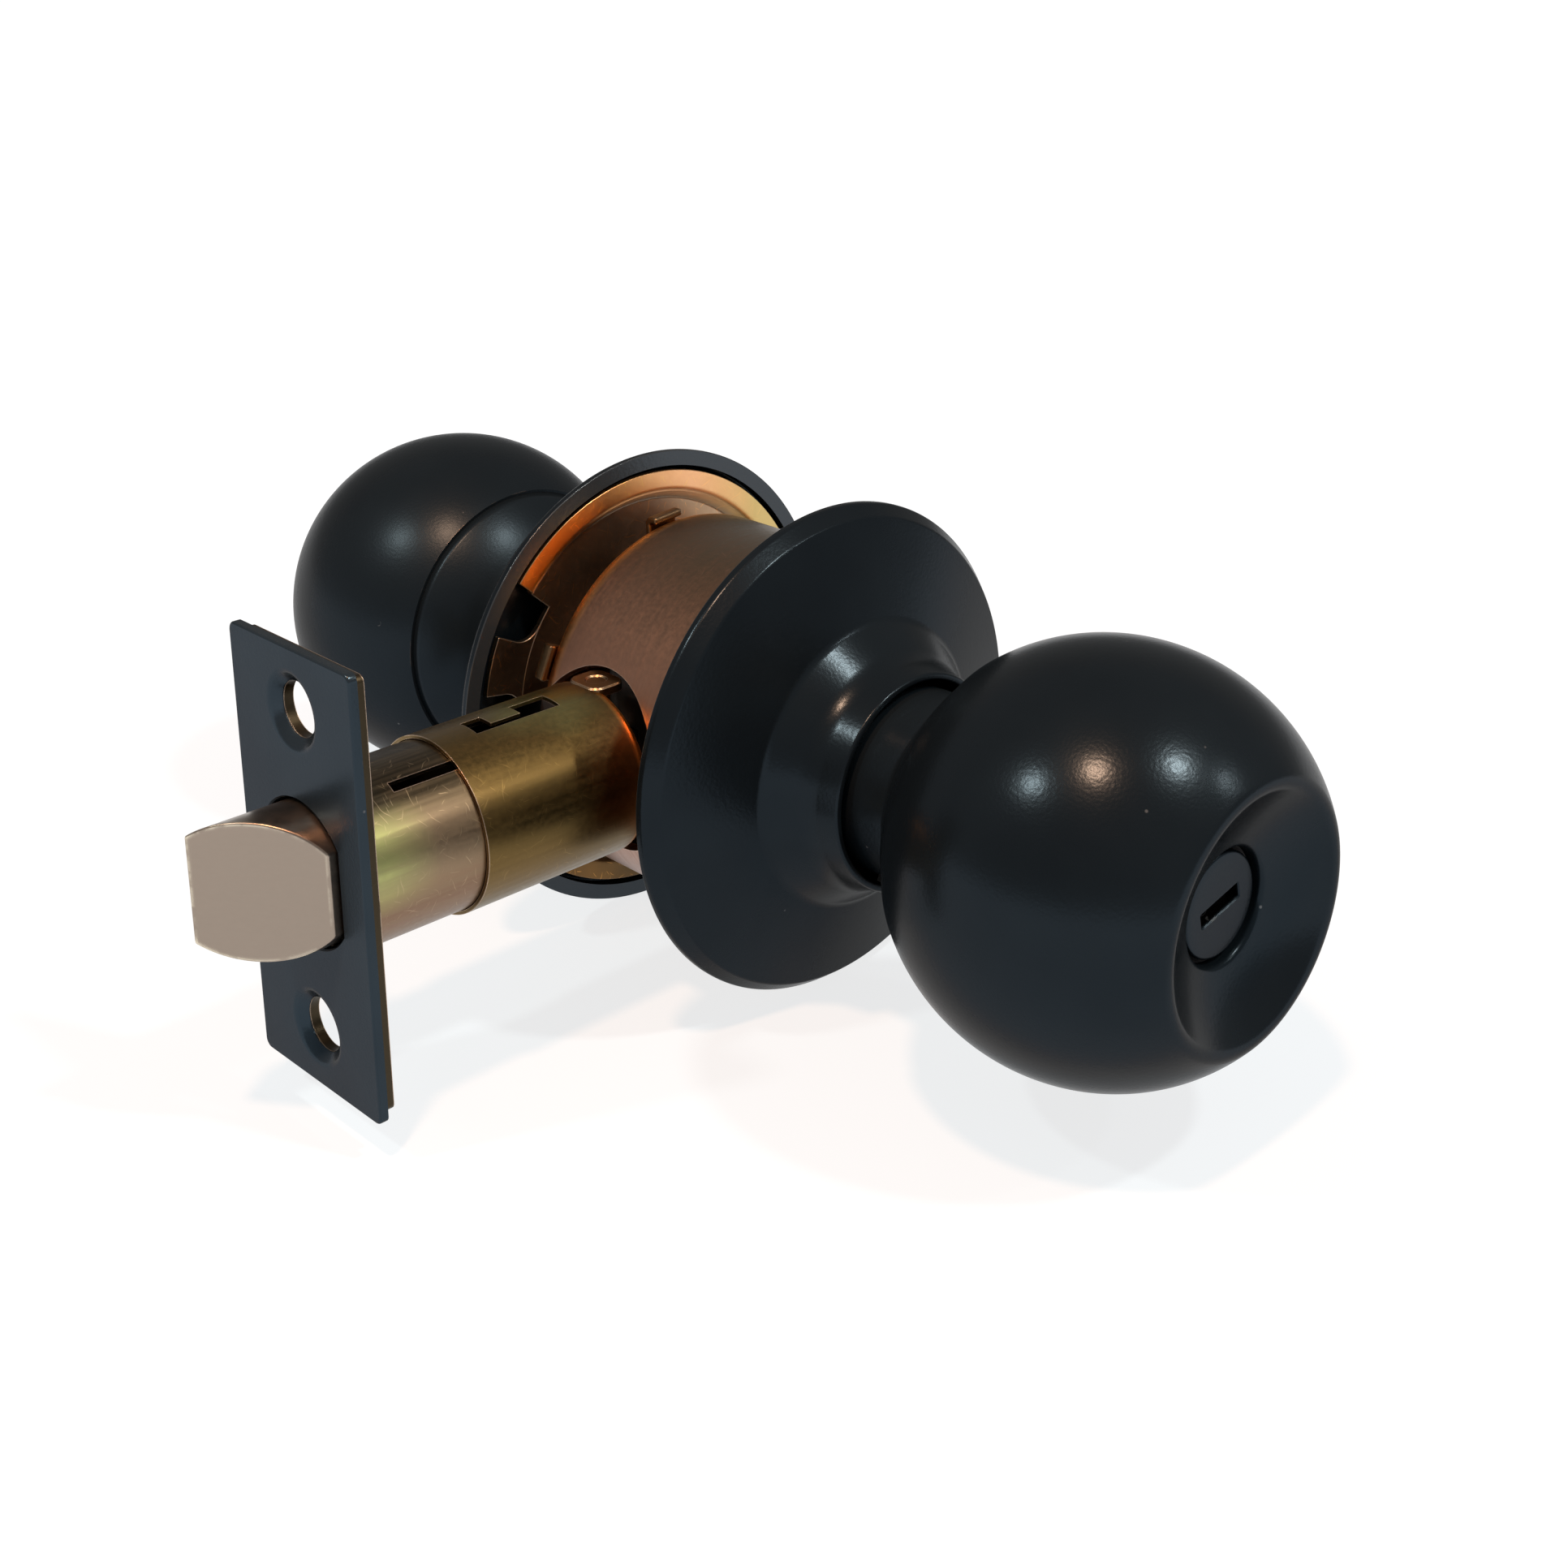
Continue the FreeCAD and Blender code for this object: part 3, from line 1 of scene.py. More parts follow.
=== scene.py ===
"""Looks of the privacy knob set: smooth shapes of the pieces that show, materials, lamps and camera."""
import json

import bmesh
import bpy
import numpy as np
from mathutils import Matrix, Vector


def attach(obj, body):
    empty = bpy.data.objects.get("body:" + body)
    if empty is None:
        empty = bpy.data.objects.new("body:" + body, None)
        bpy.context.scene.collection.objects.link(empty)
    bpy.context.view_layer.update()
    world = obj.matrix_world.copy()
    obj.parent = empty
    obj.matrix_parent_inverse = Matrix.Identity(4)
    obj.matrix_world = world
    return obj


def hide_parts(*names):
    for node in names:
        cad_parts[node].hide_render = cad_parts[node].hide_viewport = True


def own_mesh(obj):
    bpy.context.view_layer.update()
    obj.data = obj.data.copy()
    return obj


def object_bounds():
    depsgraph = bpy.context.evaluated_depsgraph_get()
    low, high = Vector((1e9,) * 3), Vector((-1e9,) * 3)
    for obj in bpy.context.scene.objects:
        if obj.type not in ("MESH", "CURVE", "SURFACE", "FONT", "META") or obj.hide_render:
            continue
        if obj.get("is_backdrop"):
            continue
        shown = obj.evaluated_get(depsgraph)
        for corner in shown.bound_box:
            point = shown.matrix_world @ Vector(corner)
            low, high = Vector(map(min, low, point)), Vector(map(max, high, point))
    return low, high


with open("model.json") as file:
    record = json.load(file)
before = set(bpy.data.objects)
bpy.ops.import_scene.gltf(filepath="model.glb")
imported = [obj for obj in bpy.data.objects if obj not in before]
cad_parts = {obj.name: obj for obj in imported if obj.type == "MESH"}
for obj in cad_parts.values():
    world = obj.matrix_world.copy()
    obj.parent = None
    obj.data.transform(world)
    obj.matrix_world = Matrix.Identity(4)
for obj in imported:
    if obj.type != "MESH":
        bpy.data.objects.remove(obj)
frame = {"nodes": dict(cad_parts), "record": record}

bl_info = {
    "name": "Privacy knob set",
    "version": (1, 0, 0),
    "blender": (4, 5, 0),
    "location": "3D View > Sidebar > Knob set",
    "description": "Shapes, materials and stage of a privacy knob set",
    "category": "Object",
}

MM = 0.001
WELD_DISTANCE, SHARP_ANGLE = 2e-6, np.radians(32)
FLOOR_SIZE, FLOOR_GAP = 3.0, 0.0005

# Sizes in millimetres and angles in degrees. They are the part's, but the disc's slot is wider here and
# some edges are rounder

HALF_DOOR = 17.5
ROSE_CORNERS = [
    (31.3, 17.5), (33.5, 17.5), (33.5, 18.45), (32.0, 20.4), (19.3, 24.9), (15.5, 29.3),
    (14.6, 33.7), (13.6, 33.7), (14.5, 28.9), (18.6, 23.9), (31.3, 19.4),
]
ROSE_ROUNDS = [0, 0.15, 1.0, 0.8, 2.5, 6.0, 0.5, 0.4, 5.0, 1.5, 0]
BALL_MIDDLE, BALL_RADIUS, BALL_WALL, SEAM = 63.5, 26.8, 0.9, 47.5
DISH_MIDDLE, DISH_SPHERE, DISH_ROUND = 104.17, 24.97, 1.6
HOLE_RADIUS, HOLE_ROUND, HOLE_FOOT = 7.1, 0.8, 78.53
DISC_RADIUS, DISC_FACE, DISC_BASE, DISC_ROUND, STEM_RADIUS, STEM_END = 6.5, 79.6, 77.6, 0.4, 3.6, 68.6
SLOT_LENGTH, SLOT_WIDTH, SLOT_DEPTH, SLOT_LIP, DISC_INNER = 7.2, 1.9, 1.2, 0.15, 5.2
GRIP_WIDTH, GRIP_THICKNESS, GRIP_TOP, GRIP_ROUND, GRIP_TOP_ROUND = 14.0, 4.4, 91.6, 2.0, 1.2
CASE_RADIUS, CASE_WALL, CASE_OPEN_END, CASE_END, CASE_ROUND = 25.9, 1.2, -19.5, 12.0, 2.5
CASE_HOLE, WINDOW_RADIUS, WINDOW_START = 12.0, 12.38, 14.9
BRACKET_RADIUS, BRACKET_SHEET, EAR_WIDTH, EAR_REACH, EAR_HOOK_END = 22.5, 1.0, 5.0, 26.45, 10.6
EAR_ROOT, BRACKET_EARS = 1.0, (95.0, -95.0, 156.0, -156.0)
SHEET_BEND = 0.9
PLATE_SHEET, PLATE_BORE, PLATE_FLOOR, PLATE_RIM = 0.9, 11.7, 19.95, 18.13
PLATE_BEND, PLATE_SLOPE, PLATE_RADIUS, PLATE_NOTCH, PLATE_EAR = 26.45, 1.5, 30.6, 22.4, 28.6
RIM_END, EAR_START, EAR_STOP, EAR_FILLET = 139.0, 154.0, 171.0, 3.0
FACE_FRONT, FACE_SHEET, BACKING_SHEET = -70.0, 1.2, 1.4
FACE_WIDTH, FACE_HEIGHT, FACE_CORNER, FACE_EDGE, BACKING_INSET = 25.4, 57.15, 1.0, 0.3, 0.8
SCREW_PLACE, SCREW_RADIUS, SINK_RADIUS, SINK_DEPTH = 20.65, 3.5, 4.8, 1.1
BOLT_TIP, BOLT_REAR, BOLT_RADIUS, BOLT_FLAT = -82.0, -60.0, 9.0, 7.3
BEVEL_BACK, NOSE_WIDTH, NOSE_DEPTH, BOLT_GAP, MOUTH_GAP = -71.0, 1.6, 2.0, 0.4, 0.6
SLEEVE_RADIUS, SLEEVE_WALL, SLEEVE_END = 11.0, 0.6, -39.4
SLEEVE_WINDOWS = ((-60.5, -39.4, -5.64, -4.34), (-46.3, -39.4, -2.9, 1.5))
TUBE_RADIUS, TUBE_WALL, TUBE_MOUTH, TUBE_END, TUBE_ROUND, TUBE_HOLE = 11.58, 0.5, -51.5, -25.3, 1.8, 6.8
TUBE_WINDOWS = (
    (-45.8, -42.9, -2.4, 1.0), (-42.9, -38.3, -2.4, -1.4), (-38.3, -32.9, -2.4, 1.0),
)
PRONG_WIDTH, PRONG_ROOT, PRONG_TIP, PRONG_LOW, PRONG_HIGH = 6.0, -27.5, -22.1, 10.58, 11.78
PRONG_CORNER, PRONG_EDGE, DIMPLE_RADIUS = 1.6, 0.2, 1.5
SHEET_EDGE, TUBE_EDGE, BRACKET_EDGE, BOLT_EDGE = 0.15, 0.12, 0.35, 0.3

# Colours that no setting changes

WORN_COAT, DUST_COLOR = (0.12, 0.11, 0.10), (0.30, 0.31, 0.32)
WORN_ZINC, BRIGHT_NICK = (0.75, 0.58, 0.46), (0.95, 0.88, 0.70)
# The dark brown is painted shade, on the backing plate, on the plate's bottom under the tube and on the
# sleeve's top
PAINTED_SHADE_BROWN, OLIVE, FLOOR_PAINT = (0.055, 0.043, 0.027), (0.130, 0.095, 0.042), (0.21, 0.26, 0.31)

# Scratches: cells per metre, reach and width in metres

SCRATCH_SIZES = ((240.0, 0.0017, 0.00004), (430.0, 0.0010, 0.00003), (700.0, 0.0006, 0.000025))

# Lamps: azimuth and height of each in degrees, width in metres, power in watts and colour

LAMPS = (
    (-108.0, 50.0, 0.065, 2.2, (1.0, 0.93, 0.80)),
    (-61.0, 67.0, 0.08, 6.3, (1.0, 0.50, 0.28)),
    (17.0, 56.5, 0.075, 3.3, (1.0, 0.91, 0.78)),
    (33.0, 38.0, 0.055, 0.6, (1.0, 0.93, 0.82)),
)


# Outlines

def rounded(corners, rounds, steps, closed=True):
    """Outline through the corners, each replaced by the arc of its radius that touches both its sides."""
    corners = np.asarray(corners, float)
    radius = np.asarray(rounds, float)[:, None]
    before = np.roll(corners, 1, 0) - corners
    after = np.roll(corners, -1, 0) - corners
    before /= np.linalg.norm(before, axis=1, keepdims=True)
    after /= np.linalg.norm(after, axis=1, keepdims=True)
    opening = np.arccos(np.clip((before * after).sum(1, keepdims=True), -0.9999, 0.9999))
    middle = before + after
    middle *= radius / np.sin(opening / 2) / np.maximum(np.linalg.norm(middle, axis=1, keepdims=True), 1e-9)
    reach = radius / np.tan(opening / 2)
    start, end = before * reach - middle, after * reach - middle
    sweep = (np.pi - opening)[:, :, None]
    part = np.linspace(0, 1, steps)[None, :, None]
    between = np.sin((1 - part) * sweep) * start[:, None] + np.sin(part * sweep) * end[:, None]
    points = corners[:, None] + middle[:, None] + between / np.sin(sweep)
    if not closed:
        points[0], points[-1] = corners[0], corners[-1]
    return distinct(points.reshape(-1, 2))


def distinct(points):
    """The points without those that repeat the one before them."""
    step = np.linalg.norm(points - np.roll(points, 1, 0), axis=1)
    step[0] = 1.0
    return points[step > 1e-6]


def arc(middle, radius, start, end, count):
    """Points (r, h) at a radius round a point (r, h), between two angles in degrees from the h axis."""
    angle = np.radians(np.linspace(start, end, count))
    return np.stack([middle[0] + radius * np.sin(angle), middle[1] + radius * np.cos(angle)], 1)


def meeting(low, low_radius, high, high_radius):
    """The point (r, h) at the given distances from two points on the axis."""
    gap = high - low
    along = (low_radius ** 2 - high_radius ** 2 + gap ** 2) / (2 * gap)
    return np.array([np.sqrt(low_radius ** 2 - along ** 2), low + along])


def angle_from(middle, point):
    """Direction of a point from a middle on the axis, in degrees from the h axis."""
    return np.degrees(np.arctan2(point[0], point[1] - middle))


def circle(radius, count, middle):
    """Points on a circle, evenly spaced."""
    angle = np.linspace(0, 2 * np.pi, count, endpoint=False)
    return np.stack([middle[0] + radius * np.cos(angle), middle[1] + radius * np.sin(angle)], 1)


def rectangle(width, height, corner, steps):
    """A rectangle round the middle with rounded corners."""
    a, b = width / 2, height / 2
    return rounded([(-a, -b), (a, -b), (a, b), (-a, b)], [corner] * 4, steps)


def flatted(radius, flat, steps=24):
    """A circle in (y, z) cut flat at both sides in y."""
    end = np.arccos(flat / radius)
    arcs = np.linspace(end, np.pi - end, steps)
    top = np.stack([radius * np.cos(arcs), radius * np.sin(arcs)], 1)
    return np.concatenate([top, -top])


def reach_of(shape, angles):
    """Points of a star-shaped outline in the directions of the angles."""
    bearing = np.arctan2(shape[:, 1], shape[:, 0])
    order = np.argsort(bearing)
    shape, bearing = shape[order], bearing[order]
    index = np.searchsorted(bearing, angles, side="right") - 1
    here, there = shape[index], shape[(index + 1) % len(shape)]
    way = np.stack([np.cos(angles), np.sin(angles)], 1)
    edge = there - here
    across = way[:, 0] * edge[:, 1] - way[:, 1] * edge[:, 0]
    distance = (here[:, 0] * edge[:, 1] - here[:, 1] * edge[:, 0]) / across
    return way * distance[:, None]


def shared_angles(*shapes, count=96):
    """Evenly spaced directions together with those of the shapes' own corners."""
    own = [np.arctan2(shape[:, 1], shape[:, 0]) for shape in shapes]
    even = np.linspace(-np.pi, np.pi, count, endpoint=False) + 0.01
    angles = np.unique(np.concatenate(own + [even]).round(5))
    return angles[np.diff(angles, prepend=-9) > 1e-4]


# Meshes as pairs of points and faces, in millimetres

def grid(points, closed_rows=False, closed_columns=False, keep=None):
    """Four-sided faces between neighbours in a table of points. keep marks the faces that stay."""
    rows, columns = points.shape[:2]
    row = np.arange(rows if closed_rows else rows - 1)[:, None]
    column = np.arange(columns if closed_columns else columns - 1)[None, :]
    next_row, next_column = (row + 1) % rows, (column + 1) % columns
    faces = np.stack([
        row * columns + column, next_row * columns + column,
        next_row * columns + next_column, row * columns + next_column,
    ], -1)
    faces = faces[keep] if keep is not None else faces.reshape(-1, 4)
    return points.reshape(-1, 3), faces.tolist()


def turned(profile, segments):
    """Surface of revolution about Y: the profile point (r, h) at angle a lies at (r sin a, h, r cos a)."""
    angle = np.linspace(0, 2 * np.pi, segments, endpoint=False)[:, None]
    radius, height = profile[None, :, 0], profile[None, :, 1]
    points = np.stack([radius * np.sin(angle), height + 0 * angle, radius * np.cos(angle)], -1)
    return grid(points, True, True)


def loft(loops):
    """Skin over closed loops of equally many points, with a flat cap on the first and the last."""
    loops = np.asarray(loops)
    points, faces = grid(loops, False, True)
    count = loops.shape[1]
    last = len(points) - count
    faces.append(list(range(count)))
    faces.append(list(range(last, last + count)))
    return points, faces


def joined(*parts):
    """Several meshes as one."""
    points, faces = [], []
    for part_points, part_faces in parts:
        start = sum(len(p) for p in points)
        points.append(part_points)
        faces.extend([[index + start for index in face] for face in part_faces])
    return np.concatenate(points), faces


def turned_side(points, side):
    """The inside's points as they are, the outside's turned half round about Z."""
    return points * np.array([side, side, 1.0])


def around_y(radius, place, angle):
    """Points (r cos a, h, r sin a) of tables of a radius, a place along Y and an angle in radians."""
    radius, place, angle = np.broadcast_arrays(radius, place, angle)
    return np.stack([radius * np.cos(angle), place, radius * np.sin(angle)], -1)


# Objects

SLOTS = {part["node"]: part["material_slot"] for part in frame["record"]["subparts"]}
BODIES = {name: body for body, names in frame["record"]["behaviour"]["bodies"].items() for name in names}


def weld(mesh):
    """Joins points that coincide, turns the faces outwards and shades smooth between sharp edges."""
    shape = bmesh.new()
    shape.from_mesh(mesh)
    bmesh.ops.delete(shape, geom=[vert for vert in shape.verts if not vert.link_faces], context="VERTS")
    bmesh.ops.remove_doubles(shape, verts=shape.verts, dist=WELD_DISTANCE)
    bmesh.ops.recalc_face_normals(shape, faces=shape.faces)
    shape.to_mesh(mesh)
    shape.free()
    mesh.shade_smooth()
    mesh.set_sharp_from_angle(angle=SHARP_ANGLE)


def put_in_place(name, mesh, finish, replaced):
    """Makes an object with a finish, and with the body of the CAD node that it replaces, which it hides."""
    mesh.materials.append(material(finish))
    made = bpy.data.objects.new(name, mesh)
    bpy.context.scene.collection.objects.link(made)
    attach(made, BODIES[replaced])
    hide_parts(replaced)
    return made


def add_piece(replaced, shape, finish, sheet=0.0, edge=0.0, name=None):
    """Makes a piece for a CAD node from points and faces in millimetres.

    A middle surface gets the thickness of its sheet, and edges are rounded to the width given.
    """
    name = name or f"{replaced}_form"
    points, faces = shape
    mesh = bpy.data.meshes.new(name)
    mesh.from_pydata((np.asarray(points) * MM).tolist(), [], faces)
    weld(mesh)
    made = put_in_place(name, mesh, finish, replaced)
    if sheet:
        solid = made.modifiers.new("sheet", "SOLIDIFY")
        solid.thickness, solid.offset, solid.use_even_offset = sheet * MM, 0.0, True
    if edge:
        bevel = made.modifiers.new("edges", "BEVEL")
        bevel.width, bevel.segments, bevel.limit_method = edge * MM, 3, "ANGLE"
        bevel.angle_limit, bevel.harden_normals = SHARP_ANGLE, True
    else:
        made.modifiers.new("normals", "WEIGHTED_NORMAL").keep_sharp = True


# Shader nodes

def node(tree, kind, inputs=None, **settings):
    """A shader node with its settings, and a value or another node's output on each named input."""
    made = tree.nodes.new("ShaderNode" + kind)
    for key, value in settings.items():
        setattr(made, key, value)
    for key, value in (inputs or {}).items():
        if isinstance(value, bpy.types.NodeSocket):
            tree.links.new(value, made.inputs[key])
        else:
            made.inputs[key].default_value = value
    return made


def mixed(tree, factor, first, second):
    """Colour between two colours, which are three channels or another node's output."""
    first, second = (
        color if isinstance(color, bpy.types.NodeSocket) else (*color, 1.0) for color in (first, second)
    )
    return node(tree, "Mix", {0: factor, 6: first, 7: second}, data_type="RGBA").outputs[2]


def reached(tree, value, low, high, to_low=0.0, to_high=1.0):
    """The value moved from one range to another, held at its ends."""
    inputs = {"Value": value, "From Min": low, "From Max": high, "To Min": to_low, "To Max": to_high}
    return node(tree, "MapRange", inputs).outputs[0]


def calculated(tree, operation, first, second=0.0):
    """Sum, product or other calculation of values."""
    return node(tree, "Math", {0: first, 1: second}, operation=operation).outputs[0]


def times(tree, first, *others):
    """Product of values."""
    for other in others:
        first = calculated(tree, "MULTIPLY", first, other)
    return first


def distance_from(tree, value, place):
    """How far a value is from a place, on either side."""
    return calculated(tree, "ABSOLUTE", calculated(tree, "SUBTRACT", value, place))


def vectors(tree, operation, first, second=(0.0, 0.0, 0.0), output=0):
    """Sum, product or other calculation of vectors."""
    return node(tree, "VectorMath", {0: first, 1: second}, operation=operation).outputs[output]


def noise(tree, place, scale, detail, roughness=0.5, seed=None):
    """Value of a noise pattern. A seed gives another pattern."""
    inputs = {"Vector": place, "Scale": scale, "Detail": detail, "Roughness": roughness}
    if seed is None:
        return node(tree, "TexNoise", inputs).outputs[0]
    return node(tree, "TexNoise", {**inputs, "W": seed}, noise_dimensions="4D").outputs[0]


def new_group(name, inputs, outputs):
    """An empty node group with a Vector and the sockets named, and the sockets inside it."""
    group = bpy.data.node_groups.new(name, "ShaderNodeTree")
    group.interface.new_socket(name="Vector", in_out="INPUT", socket_type="NodeSocketVector")
    for key, kind, value in inputs:
        socket = group.interface.new_socket(name=key, in_out="INPUT", socket_type="NodeSocket" + kind)
        socket.default_value = value
    for key, kind in outputs:
        group.interface.new_socket(name=key, in_out="OUTPUT", socket_type="NodeSocket" + kind)
    return group, group.nodes.new("NodeGroupInput").outputs, group.nodes.new("NodeGroupOutput").inputs


def placed(tree, name, inputs):
    """The outputs of a node group placed in a tree. It is built the first time that it is wanted."""
    group = bpy.data.node_groups.get(name) or GROUPS[name]()
    return node(tree, "Group", inputs, node_tree=group).outputs


def chosen_cells(group, place, scale, channel, level):
    """Distances in a Voronoi pattern, and 1 in cells whose random colour passes the level in a channel."""
    cells = node(group, "TexVoronoi", {"Vector": place, "Scale": scale}).outputs
    chance = node(group, "SeparateColor", {"Color": cells["Color"]}).outputs[channel]
    return cells["Distance"], calculated(group, "GREATER_THAN", chance, level)


def dust_group():
    """Specks and curled fibres: dots in some cells of a Voronoi pattern, parts of rings in a wider one."""
    group, given, out = new_group(
        "Dust", [("Amount", "Float", 0.1), ("Size", "Float", 0.12)], [("Mask", "Float")])
    level = calculated(group, "SUBTRACT", 1.0, given["Amount"])
    distance, chosen = chosen_cells(group, given["Vector"], 420.0, 0, level)
    within = reached(group, distance, times(group, given["Size"], 0.5), given["Size"], 1.0, 0.0)
    dots = times(group, within, chosen)
    distance, chosen = chosen_cells(group, given["Vector"], 190.0, 1, level)
    ring = reached(group, distance_from(group, distance, 0.17), 0.004, 0.012, 1.0, 0.0)
    part = reached(group, noise(group, given["Vector"], 900.0, 0.0), 0.52, 0.58)
    curls = times(group, ring, part, chosen, 0.6)
    group.links.new(calculated(group, "MAXIMUM", dots, curls), out["Mask"])
    return group


def wear_group():
    """Worn edges: where a normal rounded over the radius leaves the true one, broken up by noise."""
    group, given, out = new_group(
        "Worn Edges", [("Radius", "Float", 0.0002), ("Breakup", "Float", 0.5)], [("Mask", "Float")])
    soft = node(group, "Bevel", {"Radius": given["Radius"]}, samples=4).outputs[0]
    true = node(group, "NewGeometry").outputs["Normal"]
    edge = reached(group, vectors(group, "DOT_PRODUCT", soft, true, "Value"), 0.97, 0.86)
    end = calculated(group, "ADD", given["Breakup"], 0.10)
    broken = reached(group, noise(group, given["Vector"], 300.0, 4.0), given["Breakup"], end)
    group.links.new(times(group, edge, broken), out["Mask"])
    return group


def scratch_group():
    """Short scratches: a thin tilted disc cuts the surface in each cell of a bent Voronoi pattern."""
    group, given, out = new_group("Scratches", [("Amount", "Float", 0.5)], [("Mask", "Float")])
    place = given["Vector"]
    wander = node(group, "TexNoise", {"Vector": place, "Scale": 260.0, "Detail": 1.0}).outputs["Color"]
    bent = vectors(group, "ADD", place, vectors(group, "MULTIPLY", wander, (0.0022, 0.0022, 0.0022)))
    masks = []
    for scale, reach, width in SCRATCH_SIZES:
        cells = node(group, "TexVoronoi", {"Vector": bent, "Scale": scale}).outputs
        offset = vectors(group, "SUBTRACT", bent, cells["Position"])
        tilt = vectors(group, "NORMALIZE", vectors(group, "SUBTRACT", cells["Color"], (0.5, 0.5, 0.5)))
        off_disc = calculated(group, "ABSOLUTE", vectors(group, "DOT_PRODUCT", offset, tilt, "Value"))
        thin = reached(group, off_disc, width * 0.5, width * 1.5, 1.0, 0.0)
        near = reached(group, vectors(group, "LENGTH", offset, output="Value"), reach * 0.5, reach, 1.0, 0.0)
        masks.append(times(group, thin, near))
    lines = calculated(group, "MAXIMUM", masks[2], calculated(group, "MAXIMUM", masks[0], masks[1]))
    patch = reached(group, noise(group, place, 90.0, 2.0), 0.35, 0.6, 0.25, 1.0)
    group.links.new(times(group, lines, patch, given["Amount"]), out["Mask"])
    return group


def sheen_group():
    """Colours of a chromate film: the main colour turns rose and green in broad places, finely clouded."""
    group, given, out = new_group(
        "Chromate Sheen",
        [("Gold", "Color", (0.2, 0.14, 0.05, 1)), ("Rose", "Color", (0.2, 0.11, 0.07, 1)),
         ("Green", "Color", (0.17, 0.18, 0.06, 1)), ("Rose Share", "Float", 0.5),
         ("Green Share", "Float", 0.3)],
        [("Color", "Color"), ("Cloud", "Float"), ("Broad", "Float")])
    broad = noise(group, given["Vector"], 34.0, 1.0, seed=2.3)
    patch = noise(group, given["Vector"], 48.0, 2.0, seed=7.1)
    rose = calculated(group, "ADD", broad, calculated(group, "SUBTRACT", given["Rose Share"], 0.5))
    green = calculated(group, "ADD", patch, calculated(group, "SUBTRACT", given["Green Share"], 0.5))
    warm = mixed(group, reached(group, rose, 0.35, 0.65), given["Gold"], given["Rose"])
    tinted = mixed(group, reached(group, green, 0.42, 0.72), warm, given["Green"])
    cloud = noise(group, given["Vector"], 1500.0, 3.0, 0.6)
    shade = reached(group, cloud, 0.3, 0.7, 0.93, 1.05)
    group.links.new(vectors(group, "MULTIPLY", tinted, shade), out["Color"])
    group.links.new(cloud, out["Cloud"])
    group.links.new(broad, out["Broad"])
    return group


def skin_group():
    """Skin of a coating: fine grain on a soft orange peel as one height, and a broad pattern."""
    group, given, out = new_group(
        "Coat Skin", [("Peel", "Float", 0.6), ("Grain", "Float", 0.6)],
        [("Height", "Float"), ("Broad", "Float")])
    peel = times(group, noise(group, given["Vector"], 900.0, 1.5), given["Peel"])
    grain = times(group, noise(group, given["Vector"], 2300.0, 1.0), given["Grain"])
    group.links.new(calculated(group, "ADD", peel, grain), out["Height"])
    group.links.new(noise(group, given["Vector"], 45.0, 3.0), out["Broad"])
    return group


def brushing_group():
    """Fine lines: noise with a scale for each axis, so it is drawn out along the axis of the lowest."""
    group, given, out = new_group(
        "Brushing", [("Scale", "Vector", (3000.0, 60.0, 60.0))], [("Lines", "Float")])
    stretched = vectors(group, "MULTIPLY", given["Vector"], given["Scale"])
    group.links.new(noise(group, stretched, 1.0, 3.0), out["Lines"])
    return group


GROUPS = {
    "Dust": dust_group, "Worn Edges": wear_group, "Scratches": scratch_group,
    "Chromate Sheen": sheen_group, "Coat Skin": skin_group, "Brushing": brushing_group,
}


# Materials

def scaled(color, factor):
    """A colour made paler or darker."""
    return tuple(factor * channel for channel in color)


def new_material(name):
    """An empty finish with its tree, object coordinates, and the inputs of its Principled BSDF."""
    made = bpy.data.materials.new(f"{name}_finish")
    made.use_nodes = True
    tree = made.node_tree
    tree.nodes.clear()
    place = node(tree, "TexCoord").outputs["Object"]
    shader = node(tree, "BsdfPrincipled")
    node(tree, "OutputMaterial", {"Surface": shader.outputs[0]})
    return made, tree, place, shader.inputs


def finished(tree, shader, color, roughness, metallic, height, depth):
    """Gives the shader its colour, roughness, share of metal, and relief of the depth in metres."""
    tree.links.new(color, shader["Base Color"])
    tree.links.new(roughness, shader["Roughness"])
    shader["Metallic"].default_value = metallic
    relief = node(tree, "Bump", {"Strength": 1.0, "Distance": depth, "Height": height})
    tree.links.new(relief.outputs[0], shader["Normal"])


